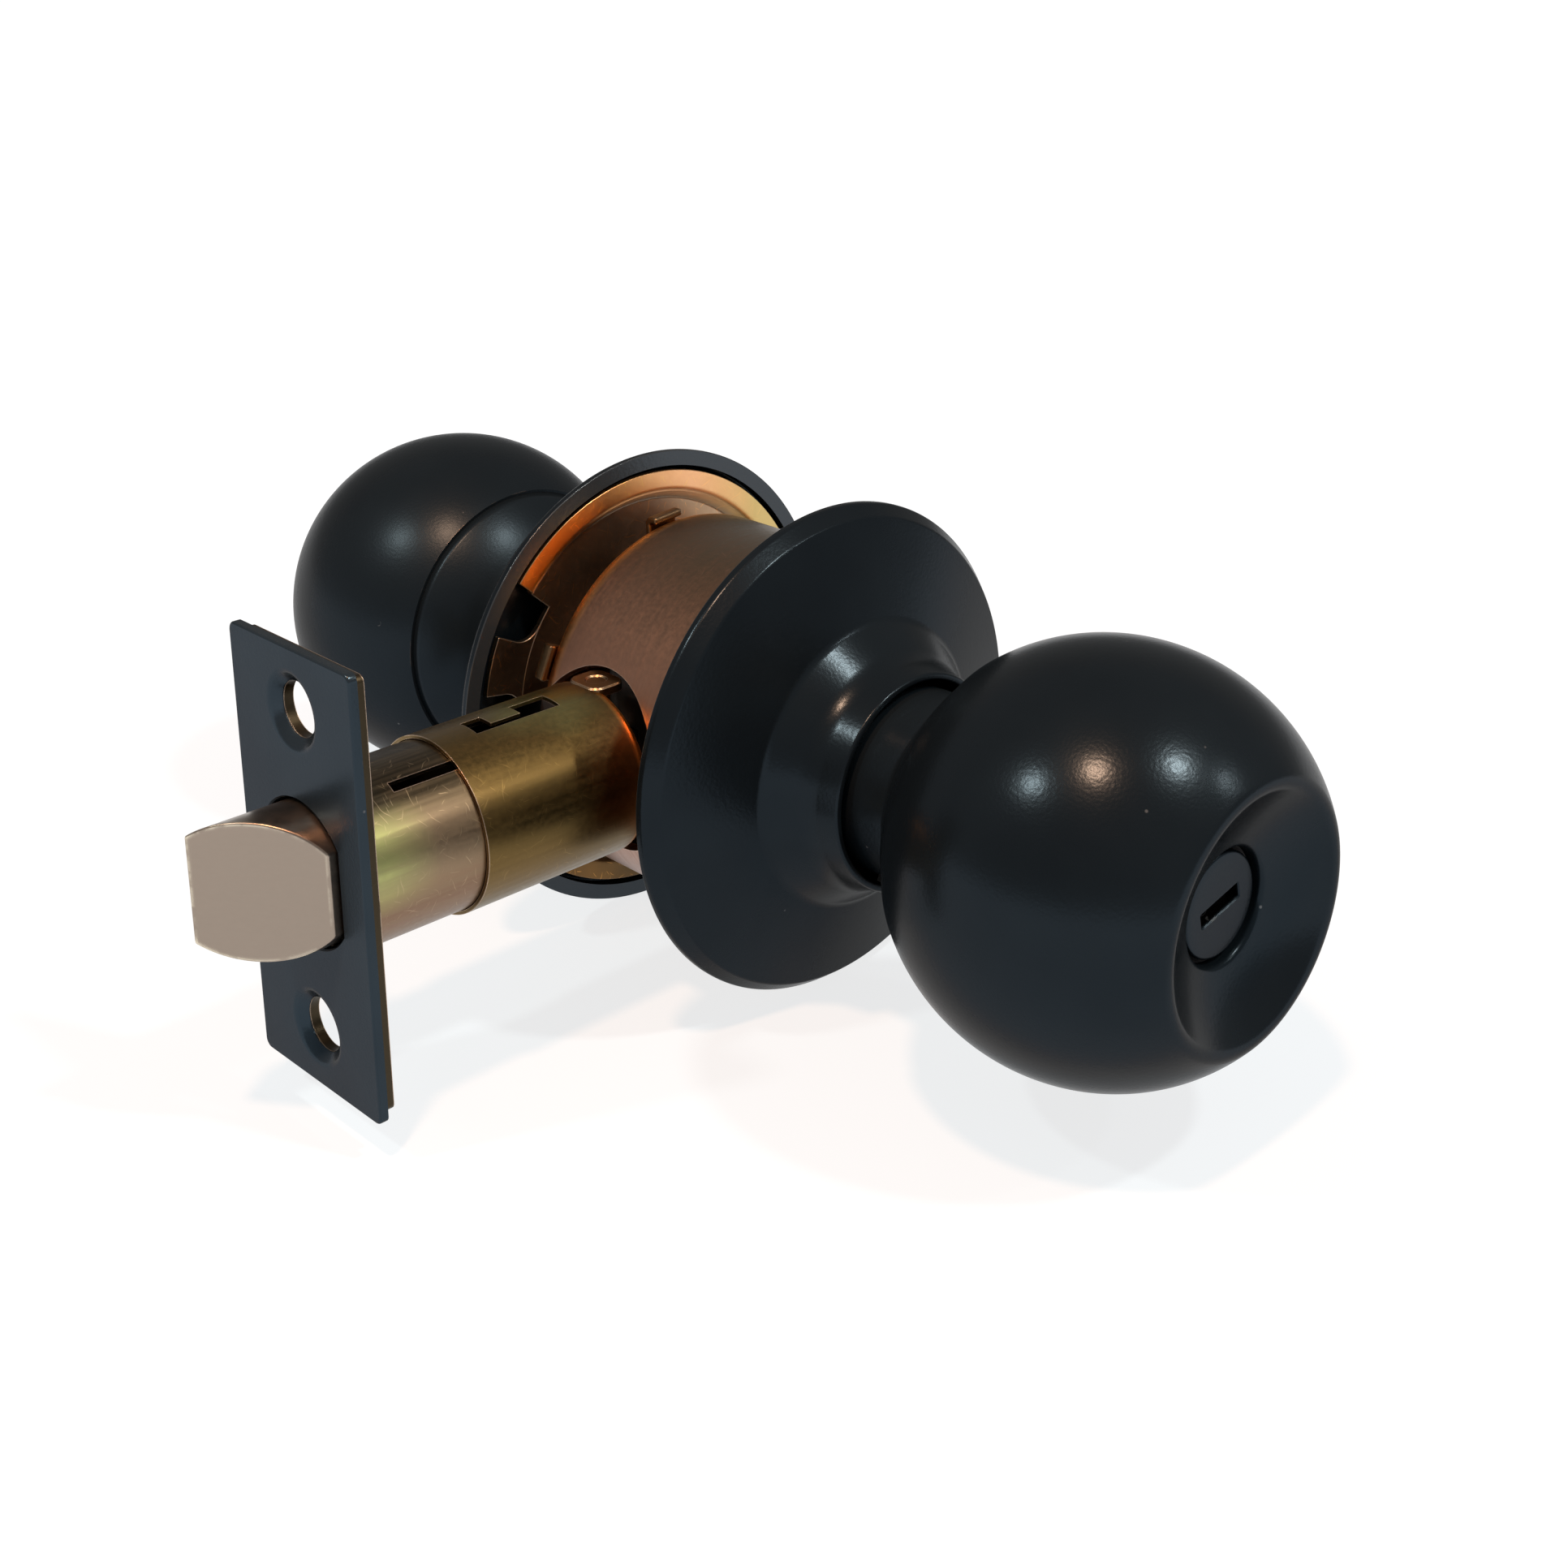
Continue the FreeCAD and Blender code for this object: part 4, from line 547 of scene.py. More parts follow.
def satin_black(settings, name, painted_lift, dull, painted_band):
    """Satin black coating with a soft skin, dust specks and edges that are worn in places.

    The lift is painted light: a factor that makes the coat paler for a piece in the shade, and dull is
    added to the roughness. A band is painted light where pale and painted shade where dark: a distance
    from the middle plane across Y in millimetres, half its width, and its colour.
    """
    made, tree, place, shader = new_material(name)
    skin = placed(tree, "Coat Skin", {"Vector": place, "Peel": 0.5, "Grain": 1.4})
    worn = placed(tree, "Worn Edges", {"Vector": place, "Radius": 0.0003, "Breakup": settings.wear_start})
    dust = placed(tree, "Dust", {"Vector": place, "Amount": settings.dust_amount, "Size": 0.10})
    # Painted light: the lift makes the coat paler for pieces that lie in shade
    dark, light = scaled(settings.coat_dark, painted_lift), scaled(settings.coat_light, painted_lift)
    coat = mixed(tree, reached(tree, skin["Broad"], 0.35, 0.65), dark, light)
    # The band paints light or shade in a ring across Y
    if painted_band:
        middle, half, color = painted_band
        away = calculated(tree, "ABSOLUTE", node(tree, "SeparateXYZ", {"Vector": place}).outputs["Y"])
        off = distance_from(tree, away, middle * MM)
        coat = mixed(tree, reached(tree, off, (half - 0.1) * MM, half * MM, 1.0, 0.0), coat, color)
    rubbed = mixed(tree, times(tree, worn["Mask"], 0.6), coat, WORN_COAT)
    dusty = mixed(tree, times(tree, dust["Mask"], 0.35), rubbed, DUST_COLOR)
    rough = settings.coat_roughness + dull
    roughness = reached(tree, skin["Broad"], 0.3, 0.7, rough - 0.02, rough + 0.03)
    shader["Specular IOR Level"].default_value = settings.coat_gloss
    shader["Specular Tint"].default_value = (0.25, 0.25, 0.25, 1.0)
    finished(tree, shader, dusty, roughness, settings.coat_metal, skin["Height"], 0.00001)
    return made


def yellow_zinc(
    name, colors, shares, roughness, lines=(60.0, 60.0, 60.0), tints=(), scratched=0.5, depth=0.0000012,
):
    """Yellow chromated zinc: metal under a film of three colours, with lines, scratches and bright edges.

    The shares are those of the second and the third colour. Each tint is an axis, two places on it in
    millimetres between which it comes in, and its colour. Some tints are painted light or painted shade.
    """
    made, tree, place, shader = new_material(name)
    gold, rose, green = colors
    sheen = placed(tree, "Chromate Sheen", {
        "Vector": place, "Gold": (*gold, 1), "Rose": (*rose, 1), "Green": (*green, 1),
        "Rose Share": shares[0], "Green Share": shares[1]})
    base = sheen["Color"]
    axes = node(tree, "SeparateXYZ", {"Vector": place}).outputs
    for axis, start, end, tint in tints:
        shift = times(tree, calculated(tree, "SUBTRACT", sheen["Broad"], 0.5), (end - start) * MM)
        moved = calculated(tree, "ADD", axes[axis], shift)
        base = mixed(tree, reached(tree, moved, start * MM, end * MM), base, tint)
    brushed = placed(tree, "Brushing", {"Vector": place, "Scale": lines})["Lines"]
    scratch = placed(tree, "Scratches", {"Vector": place, "Amount": scratched})
    worn = placed(tree, "Worn Edges", {"Vector": place, "Radius": 0.00022, "Breakup": 0.26})
    lined = mixed(tree, reached(tree, brushed, 0.35, 0.65, 0.0, 0.25), base, scaled(gold, 0.75))
    marked = mixed(tree, scratch["Mask"], lined, scaled(gold, 1.7))
    edged = mixed(tree, times(tree, worn["Mask"], 0.9), marked, WORN_ZINC)
    uneven = calculated(tree, "ADD", brushed, sheen["Cloud"])
    height = calculated(tree, "ADD", brushed, times(tree, sheen["Cloud"], 0.35))
    rough = reached(tree, uneven, 0.7, 1.3, roughness - 0.05, roughness + 0.06)
    finished(tree, shader, edged, rough, 1.0, height, depth)
    return made


def satin_nickel(settings):
    """Satin nickel, evenly blasted, with faint hair lines and bright nicks on its edges."""
    made, tree, place, shader = new_material("satin_nickel")
    lines = placed(tree, "Brushing", {"Vector": place, "Scale": (700.0, 700.0, 1500.0)})["Lines"]
    worn = placed(tree, "Worn Edges", {"Vector": place, "Radius": 0.0009, "Breakup": 0.43})
    scratch = placed(tree, "Scratches", {"Vector": place, "Amount": 0.3})
    nickel = settings.nickel_color
    base = mixed(tree, reached(tree, lines, 0.3, 0.7), scaled(nickel, 0.96), nickel)
    nicked = mixed(tree, worn["Mask"], base, BRIGHT_NICK)
    height = calculated(tree, "SUBTRACT", lines, times(tree, scratch["Mask"], 0.3))
    finished(tree, shader, nicked, reached(tree, lines, 0.3, 0.7, 0.29, 0.36), 1.0, height, 0.000004)
    return made


def plain_metal(name, color, roughness, clouding, metallic):
    """Plain metal or plastic of an inside piece: cloudy, and rubbed on its edges."""
    made, tree, place, shader = new_material(name)
    skin = placed(tree, "Coat Skin", {"Vector": place, "Peel": 0.8})
    worn = placed(tree, "Worn Edges", {"Vector": place, "Radius": 0.0002, "Breakup": 0.45})
    base = mixed(tree, reached(tree, skin["Broad"], 0.3, 0.7), scaled(color, 1 - clouding), color)
    rubbed = mixed(tree, times(tree, worn["Mask"], 0.4), base, scaled(color, 1.35))
    uneven = reached(tree, skin["Height"], 0.2, 0.8, roughness - 0.05, roughness + 0.08)
    finished(tree, shader, rubbed, uneven, metallic, skin["Height"], 0.000006)
    return made


# Black finishes: lift, added roughness and band. A lift above 1 is painted light, a pale band is painted
# light and a dark band is painted shade

BLACKS = {
    "satin_black": (1.0, 0.0, None),
    # The rose's band is painted light: a paler ring on the rim where it meets the door
    "rose_black_painted_rim_light": (1.0, 0.0, (HALF_DOOR, 0.2, (0.060, 0.073, 0.086))),
    # The knob backs' lifts are painted light, paler copies of the coat for pieces in shade
    "neck_black_painted_light": (1.35, 0.0, None),
    "inside_black": (1.0, 0.08, None),
    "inside_neck_black_painted_light": (1.1, 0.08, None),
    # The faceplate's lift is painted light, a paler copy of the coat
    "plate_black_painted_light": (2.3, 0.0, None),
    # The disc's lift is painted light, and its black band is painted shade down in the slot
    "disc_black_painted_light_and_shade": (1.2, 0.0, (78.4, 0.9, (0.001, 0.001, 0.001))),
}

# Finishes of pieces inside: colour, roughness, clouding and share of metal

PLAINS = {
    # plain_steel and cast_zinc are painted darker than the bare metals, as shade on the pieces inside the
    # housing
    "plain_steel": ((0.24, 0.23, 0.22), 0.34, 0.12, 1.0),
    "cast_zinc": ((0.10, 0.09, 0.08), 0.45, 0.2, 1.0),
    "spring_steel": ((0.22, 0.22, 0.22), 0.34, 0.12, 1.0),
    "nylon": ((0.035, 0.035, 0.037), 0.45, 0.06, 0.0),
}


def zincs(settings):
    """What yellow_zinc is given for each zinc finish, with painted light and shade in some colours and
    tints.
    """
    tube, sleeve, case = settings.tube_color, settings.sleeve_color, settings.housing_color
    # The glint colour is a painted highlight
    rose, green, glint = settings.rose_color, settings.green_color, settings.painted_glint_color
    along_x = (70.0, 1600.0, 1600.0)
    return {
        "yellow_zinc": dict(colors=(tube, case, green), shares=(0.55, 0.25), roughness=0.335),
        "bracket_zinc": dict(colors=(rose, tube, case), shares=(0.5, 0.3), roughness=0.335, scratched=0.2),
        # The backing plate's colour is painted shade, darker than its zinc, so that its edge and the walls
        # of its holes look shaded
        "backing_zinc_painted_shade": dict(colors=(PAINTED_SHADE_BROWN, PAINTED_SHADE_BROWN, tube), shares=(0.5, 0.3), roughness=0.42, scratched=0.2),
        "plate_zinc": dict(
            # Painted highlights on the rim: the glint colour at its left, rose at its top and lemon at its
            # right stand in for lamps mirrored in it
            colors=(glint, case, tube), shares=(0.45, 0.2), roughness=0.33, scratched=0.5, depth=0.000014,
            tints=(("X", -16, 4, settings.rim_color), ("X", 6, 20, settings.painted_lemon_glint_color),
                   # Painted shade: darker towards the bottom under the tube, and dark brown down in the dish
                   ("Z", -6, -16, PAINTED_SHADE_BROWN), ("Y", 18.4, 19.3, settings.painted_dish_shade_color))),
        "housing_zinc": dict(
            colors=(case, rose, case), shares=(0.35, 0.35), roughness=0.34, lines=(90.0, 1600.0, 90.0),
            scratched=0.25,
            # Painted light: paler towards the latch, and the glint colour along the rounded rear edge as a
            # painted reflection of the plate's rim. OLIVE makes it olive and darker away from the latch
            tints=(("X", -19, -26, scaled(case, 1.5)), ("X", -14, 6, OLIVE), ("Y", 8.8, 11.6, glint))),
        "tube_zinc": dict(
            colors=(tube, rose, green), shares=(0.3, 0.3), roughness=0.335, lines=along_x, scratched=0.8,
            # The glint colour on the tube's rounded end is a painted highlight
            depth=0.000006, tints=(("X", -27.3, -26, glint),)),
        "sleeve_zinc": dict(
            colors=(sleeve, rose, tube), shares=(0.45, 0.3), roughness=0.36, lines=along_x, scratched=0.4,
            # The sleeve's top is darkened with painted shade
            tints=(("X", -58, -65, green), ("Z", 2, -3, scaled(rose, 0.9)), ("Z", 5, 9, PAINTED_SHADE_BROWN))),
    }


def material(name):
    """The finish of that name, made the first time that it is wanted."""
    settings = bpy.context.scene.knob_set
    made = bpy.data.materials.get(f"{name}_finish")
    if made:
        return made
    if name in BLACKS:
        return satin_black(settings, name, *BLACKS[name])
    if name in PLAINS:
        return plain_metal(name, *PLAINS[name])
    if name == "satin_nickel":
        return satin_nickel(settings)
    return yellow_zinc(name, **zincs(settings)[name])


# Pieces

def ball_shell():
    """Profile of the front of a ball knob: ball, dish and hole, with the same wall behind them."""
    rim = meeting(BALL_MIDDLE, BALL_RADIUS - DISH_ROUND, DISH_MIDDLE, DISH_SPHERE + DISH_ROUND)
    lip_middle = DISH_MIDDLE - np.sqrt((DISH_SPHERE + HOLE_ROUND) ** 2 - (HOLE_RADIUS + HOLE_ROUND) ** 2)
    lip = np.array([HOLE_RADIUS + HOLE_ROUND, lip_middle])
    inner_ball, inner_dish = BALL_RADIUS - BALL_WALL, DISH_SPHERE + BALL_WALL
    crease = meeting(BALL_MIDDLE, inner_ball, DISH_MIDDLE, inner_dish)
    seam = np.degrees(np.arccos((SEAM - BALL_MIDDLE) / BALL_RADIUS))
    inner_seam = np.degrees(np.arccos((SEAM - BALL_MIDDLE) / inner_ball))
    to_ball = angle_from(BALL_MIDDLE, rim)
    to_dish = angle_from(DISH_MIDDLE, rim)
    to_lip = angle_from(DISH_MIDDLE, lip)
    foot = HOLE_RADIUS + BALL_WALL
    foot_angle = 180 - np.degrees(np.arcsin(foot / inner_dish))
    return distinct(np.concatenate([
        arc((0, BALL_MIDDLE), BALL_RADIUS, seam, to_ball, 72),
        arc(rim, DISH_ROUND, to_ball, to_dish - 180, 14),
        arc((0, DISH_MIDDLE), DISH_SPHERE, to_dish, to_lip, 18),
        arc(lip, HOLE_ROUND, to_lip - 180, -90, 10),
        [(HOLE_RADIUS, HOLE_FOOT), (foot, HOLE_FOOT)],
        arc((0, DISH_MIDDLE), inner_dish, foot_angle, angle_from(DISH_MIDDLE, crease), 8),
        arc((0, BALL_MIDDLE), inner_ball, angle_from(BALL_MIDDLE, crease), inner_seam, 24),
    ]))


class KNOBSET_OT_roses(bpy.types.Operator):
    """Makes both roses as solids of revolution"""
    bl_idname = "knobset.roses"
    bl_label = "Roses"

    def execute(self, context):
        settings = context.scene.knob_set
        points, faces = turned(rounded(ROSE_CORNERS, ROSE_ROUNDS, 12), settings.segments)
        for side, name in ((1, "inside"), (-1, "outside")):
            add_piece(f"{name}_rose", (turned_side(points, side), faces), "rose_black_painted_rim_light")
        return {"FINISHED"}


class KNOBSET_OT_knobs(bpy.types.Operator):
    """Makes the front of both ball knobs; their backs, with the catch's window, are copies of the solids"""
    bl_idname = "knobset.knobs"
    bl_label = "Ball knobs"

    def execute(self, context):
        settings = context.scene.knob_set
        points, faces = turned(ball_shell(), settings.segments)
        for side, name, finish in ((1, "inside", "inside_black"), (-1, "outside", "satin_black")):
            add_piece(f"{name}_knob_shell", (turned_side(points, side), faces), finish)
        return {"FINISHED"}


def stacked(shape_heights):
    """Loops in the plane across Y from pairs of an outline (x, z) and its place along Y."""
    return [
        np.stack([shape[:, 0], np.full(len(shape), height), shape[:, 1]], 1)
        for shape, height in shape_heights
    ]


def turned_outline(shape, angle):
    """The outline turned by an angle in degrees."""
    c, s = np.cos(np.radians(angle)), np.sin(np.radians(angle))
    return shape @ np.array([[c, s], [-s, c]])


def disc_head(ring):
    """Loops of the stem and the disc that both centres have, up to the round edge of the disc's face."""
    quarter = np.linspace(np.pi / 2, 0, 6)
    flat, low = DISC_RADIUS - DISC_ROUND, DISC_FACE - DISC_ROUND
    edge = [(ring * (flat + DISC_ROUND * np.sin(t)), low + DISC_ROUND * np.cos(t)) for t in quarter]
    stem = [(ring * STEM_RADIUS, STEM_END), (ring * STEM_RADIUS, DISC_BASE)]
    return stem + [(ring * DISC_RADIUS, DISC_BASE)] + edge


def release_disc(angle):
    """The disc with its slot: loops of star-shaped outlines, from the stem's end to the slot's floor."""
    slot = turned_outline(rectangle(SLOT_LENGTH, SLOT_WIDTH, SLOT_LIP, 4), angle)
    wider = 2 * SLOT_LIP
    lip = turned_outline(rectangle(SLOT_LENGTH + wider, SLOT_WIDTH + wider, wider, 4), angle)
    angles = shared_angles(slot, lip)
    ring = np.stack([np.cos(angles), np.sin(angles)], 1)
    slot, lip = reach_of(slot, angles), reach_of(lip, angles)
    return loft(stacked(disc_head(ring) + [
        (ring * DISC_INNER, DISC_FACE), (lip, DISC_FACE), (slot, DISC_FACE - SLOT_LIP),
        (slot, DISC_FACE - SLOT_DEPTH),
    ]))


def turn_button(angle):
    """The grip on its disc: the grip's outline shrinks along a quarter circle over its round top."""
    angles = shared_angles(turned_outline(rectangle(GRIP_WIDTH, GRIP_THICKNESS, GRIP_ROUND, 8), angle))
    ring = np.stack([np.cos(angles), np.sin(angles)], 1)

    def grip(inset):
        corner = max(GRIP_ROUND - inset, 0.2)
        outline = rectangle(GRIP_WIDTH - 2 * inset, GRIP_THICKNESS - 2 * inset, corner, 8)
        return reach_of(turned_outline(outline, angle), angles)

    shoulder = GRIP_TOP - GRIP_TOP_ROUND
    quarter = np.linspace(0, np.pi / 2, 7)[1:]
    round_top = [
        (grip(GRIP_TOP_ROUND * (1 - np.cos(t))), shoulder + GRIP_TOP_ROUND * np.sin(t)) for t in quarter
    ]
    bar = loft(stacked([(grip(0.0), DISC_FACE - 0.5), (grip(0.0), shoulder)] + round_top))
    return joined(loft(stacked(disc_head(ring))), bar)


class KNOBSET_OT_centres(bpy.types.Operator):
    """Makes the slotted release disc and the turn button in the dishes of the knobs"""
    bl_idname = "knobset.centres"
    bl_label = "Release disc and turn button"

    def execute(self, context):
        angle = context.scene.knob_set.turn_angle
        points, faces = release_disc(-angle)
        add_piece("release_disc", (turned_side(points, -1), faces), "disc_black_painted_light_and_shade")
        add_piece("turn_button", turn_button(angle), "satin_black")
        return {"FINISHED"}


def case_sheet():
    """Middle surface of the housing, a cup about Y with a round window towards the latch.

    In the row of radius r and depth y the window, a circle about X, reaches the height
    sqrt(w^2 - y^2), which is the angle arcsin(height / r) from the latch. The columns share out the
    rest of the turn, and the window ends where x is shallower than its start. Rows past the window
    close at the latch side and are welded there.
    """
    radius, end = CASE_RADIUS - CASE_WALL / 2, CASE_END - CASE_WALL / 2
    corner = CASE_ROUND - CASE_WALL / 2
    turn = np.linspace(0, np.pi / 2, 10)
    bend = np.stack([radius - corner * (1 - np.cos(turn)), end - corner * (1 - np.sin(turn))], 1)[::-1]
    slot_reach = np.hypot(WINDOW_START, np.sqrt(WINDOW_RADIUS ** 2 - end ** 2))
    past_window = np.linspace(slot_reach, radius - corner, 8)[1:-1]
    inner = np.concatenate([[CASE_HOLE], np.linspace(WINDOW_START, slot_reach, 5), past_window])
    lip = -WINDOW_RADIUS * np.cos(np.linspace(0, np.arccos(-bend[-1, 1] / WINDOW_RADIUS), 48))[::-1]
    path = np.concatenate([
        np.stack([inner, np.full(len(inner), end)], 1), bend,
        np.stack([np.full(47, radius), lip[1:]], 1), [(radius, CASE_OPEN_END)],
    ])
    row_radius, depth = path[:, 0], path[:, 1]
    height = np.sqrt(np.clip(WINDOW_RADIUS ** 2 - depth ** 2, 0, None))
    by_height = np.arcsin(np.clip(height / row_radius, 0, 1))
    half = np.minimum(by_height, np.arccos(np.clip(WINDOW_START / row_radius, 0, 1)))
    share = np.linspace(0, 1, 181)[:, None]
    angle = np.pi + half + share * (2 * np.pi - 2 * half)
    return grid(around_y(row_radius, depth, angle))


def bracket_sheet():
    """Middle surface of the bracket: a flat ring with ears that hook over the housing's edge."""
    place = CASE_END + BRACKET_SHEET / 2
    angle = np.linspace(0, 2 * np.pi, 120, endpoint=False)[:, None]
    ring = grid(around_y(np.array([[CASE_HOLE, BRACKET_RADIUS]]), place, angle), True, False)
    corners = [(BRACKET_RADIUS - EAR_ROOT, place), (EAR_REACH, place), (EAR_REACH, EAR_HOOK_END)]
    path = rounded(corners, [0, SHEET_BEND, 0], 8, closed=False)
    radius, depth = path[:, :1], path[:, 1:]
    widths = np.linspace(-EAR_WIDTH / 2, EAR_WIDTH / 2, 3)[None, :]
    ears = []
    for turn in BRACKET_EARS:
        c, s = np.cos(np.radians(turn)), np.sin(np.radians(turn))
        x, z = radius * c - widths * s, radius * s + widths * c
        ears.append(grid(np.stack([x, depth + 0 * widths, z], -1)))
    return joined(ring, *ears)


class KNOBSET_OT_housing(bpy.types.Operator):
    """Makes the housing with its window, and the bracket with its ears"""
    bl_idname = "knobset.housing"
    bl_label = "Housing"

    def execute(self, context):
        add_piece("housing", case_sheet(), "housing_zinc", sheet=CASE_WALL, edge=SHEET_EDGE)
        add_piece(
            "housing_bracket", bracket_sheet(), "bracket_zinc", sheet=BRACKET_SHEET, edge=BRACKET_EDGE)
        return {"FINISHED"}


def plate_sheet():
    """Middle surface of the inside plate: a dish about Y, cut back to a notch and two ears at the latch."""
    corners = [
        (PLATE_BORE, PLATE_FLOOR), (PLATE_NOTCH, PLATE_FLOOR), (PLATE_BEND, PLATE_FLOOR),
        (PLATE_BEND + PLATE_SLOPE, PLATE_RIM), (PLATE_RADIUS, PLATE_RIM),
    ]
    path = rounded(corners, [0, 0, SHEET_BEND, SHEET_BEND, 0], 8, closed=False)
    marks = np.array([RIM_END, EAR_START, EAR_STOP])
    degrees = np.unique(np.concatenate([np.linspace(-180, 180, 180, endpoint=False), marks, -marks]))
    angle = np.radians(degrees)[:, None]
    points = around_y(path[None, :, 0], path[None, :, 1], angle)
    near = np.abs((degrees + np.roll(degrees, -1)) / 2)
    near[-1] = 180.0
    beyond = (path[:-1, 0] + path[1:, 0]) / 2 > PLATE_NOTCH
    keep = ~((near > RIM_END)[:, None] & beyond[None, :])
    dish = grid(points, True, False, keep)
    ears = []
    for way in (1, -1):
        radius = np.linspace(PLATE_NOTCH, PLATE_EAR, 24)[:, None]
        near_root = np.clip(EAR_FILLET - (radius - PLATE_NOTCH), 0, None)
        flare = np.degrees((EAR_FILLET - np.sqrt(EAR_FILLET ** 2 - near_root ** 2)) / radius)
        share = np.linspace(0, 1, 16)[None, :]
        low, high = EAR_START - flare, EAR_STOP + np.minimum(flare, 180 - EAR_STOP)
        spread = np.radians(way * (low * (1 - share) + high * share))
        ears.append(grid(around_y(radius, PLATE_FLOOR, spread)))
    return joined(dish, *ears)


class KNOBSET_OT_plates(bpy.types.Operator):
    """Makes the inside mounting plate"""
    bl_idname = "knobset.plates"
    bl_label = "Mounting plate"

    def execute(self, context):
        add_piece(
            "inside_mounting_plate", plate_sheet(), "plate_zinc", sheet=PLATE_SHEET, edge=SHEET_EDGE)
        return {"FINISHED"}


def filled(outline, holes, place):
    """Flat faces between an outline and the holes in it, in the plane at a place along X."""
    shape = bmesh.new()
    for loop in [outline] + holes:
        made = [shape.verts.new((place, y, z)) for y, z in loop]
        for first, second in zip(made, made[1:] + made[:1]):
            shape.edges.new((first, second))
    bmesh.ops.triangle_fill(shape, use_beauty=True, edges=shape.edges, normal=(1, 0, 0))
    shape.verts.index_update()
    points = np.array([vert.co[:] for vert in shape.verts])
    faces = [[vert.index for vert in face.verts] for face in shape.faces]
    shape.free()
    return points, faces


def wall(loops):
    """Rings of faces through loops of (outline in (y, z), place along X)."""
    points = np.stack([np.column_stack([np.full(len(shape), place), shape]) for shape, place in loops])
    return grid(points, False, True)


def pierced_plate(inset, front, back, edge, sink_depth):
    """A plate across X with rounded edges, the bolt's opening and two screw holes, sunk if given a depth.

    Its outline lies the inset within the faceplate's.
    """
    width, height, corner = FACE_WIDTH - 2 * inset, FACE_HEIGHT - 2 * inset, FACE_CORNER
    quarter = np.linspace(0, np.pi / 2, 5)
    insets = 2 * edge * (1 - np.sin(quarter))
    rim = [
        (rectangle(width - inset, height - inset, corner, 8), front + edge * (1 - np.cos(t)))
        for inset, t in zip(insets, quarter)
    ]
    rim.append((rectangle(width, height, corner, 8), back))
    opening = flatted(BOLT_RADIUS + BOLT_GAP, BOLT_FLAT + BOLT_GAP)
    wide = flatted(BOLT_RADIUS + MOUTH_GAP, BOLT_FLAT + MOUTH_GAP)
    mouth = [(wide, front), (opening, front + MOUTH_GAP - BOLT_GAP), (opening, back)]
    parts, front_holes, back_holes = [], [wide], [opening]
    for way in (1, -1):
        middle = (0.0, SCREW_PLACE * way)
        rings = [(SCREW_RADIUS + 0.1, 0.0), (SCREW_RADIUS, 0.1)]
        if sink_depth:
            rings = [
                (SINK_RADIUS + 0.5, 0.0), (SINK_RADIUS + 0.1, 0.06), (SINK_RADIUS - 0.3, 0.3),
                (SCREW_RADIUS + 0.1, sink_depth - 0.1), (SCREW_RADIUS, sink_depth),
            ]
        loops = [(circle(radius, 64, middle), front + depth) for radius, depth in rings]
        loops.append((circle(SCREW_RADIUS, 64, middle), back))
        parts.append(wall(loops))
        front_holes.append(loops[0][0])
        back_holes.append(loops[-1][0])
    faces = [filled(rim[0][0], front_holes, front), filled(rim[-1][0], back_holes, back)]
    return joined(*parts, wall(rim), wall(mouth), *faces)


class KNOBSET_OT_faceplate(bpy.types.Operator):
    """Makes the latch's black faceplate and the gold plate behind it"""
    bl_idname = "knobset.faceplate"
    bl_label = "Faceplate"

    def execute(self, context):
        back = FACE_FRONT + FACE_SHEET
        front_plate = pierced_plate(0.0, FACE_FRONT, back, FACE_EDGE, SINK_DEPTH)
        add_piece("latch_faceplate", front_plate, "plate_black_painted_light")
        backing = pierced_plate(BACKING_INSET, back, back + BACKING_SHEET, SHEET_EDGE, 0.0)
        # Its finish paints shade on the gold backing plate
        add_piece("faceplate_backing", backing, "backing_zinc_painted_shade")
        return {"FINISHED"}


def tube_sheet(path, windows):
    """Middle surface of a tube about X, with windows (x, x, y, y) in its top.

    The path's point (r, x) at angle a lies at (x, r sin a, r cos a).
    """
    radius = path[:, 0].max()
    x_marks = sorted({x for window in windows for x in window[:2]} - {path[0, 1]})
    xs = path[:, 1]
    inserted = [(radius, x) for x in x_marks if xs[0] < x < xs[1]]
    path = np.concatenate([path[:1], np.array(inserted).reshape(-1, 2), path[1:]])
    edges = np.degrees(np.arcsin(np.array(sorted({y for window in windows for y in window[2:]})) / radius))
    turn = np.unique(np.concatenate([np.linspace(-180, 180, 180, endpoint=False), edges]).round(6))
    angle = np.radians(turn)[:, None]
    around, along = path[None, :, 0], path[None, :, 1]
    points = np.stack([along + 0 * angle, around * np.sin(angle), around * np.cos(angle)], -1)
    middle_x = (path[:-1, 1] + path[1:, 1]) / 2
    middle_turn = np.radians((turn + np.append(turn[1:], turn[0] + 360)) / 2)
    side = radius * np.sin(middle_turn)
    on_top = np.cos(middle_turn) > 0
    keep = np.ones((len(turn), len(path) - 1), bool)
    for x_low, x_high, y_low, y_high in windows:
        inside_x = (middle_x > x_low) & (middle_x < x_high)
        inside_y = (side > y_low) & (side < y_high) & on_top
        keep &= ~(inside_y[:, None] & inside_x[None, :])
    return grid(points, True, False, keep)


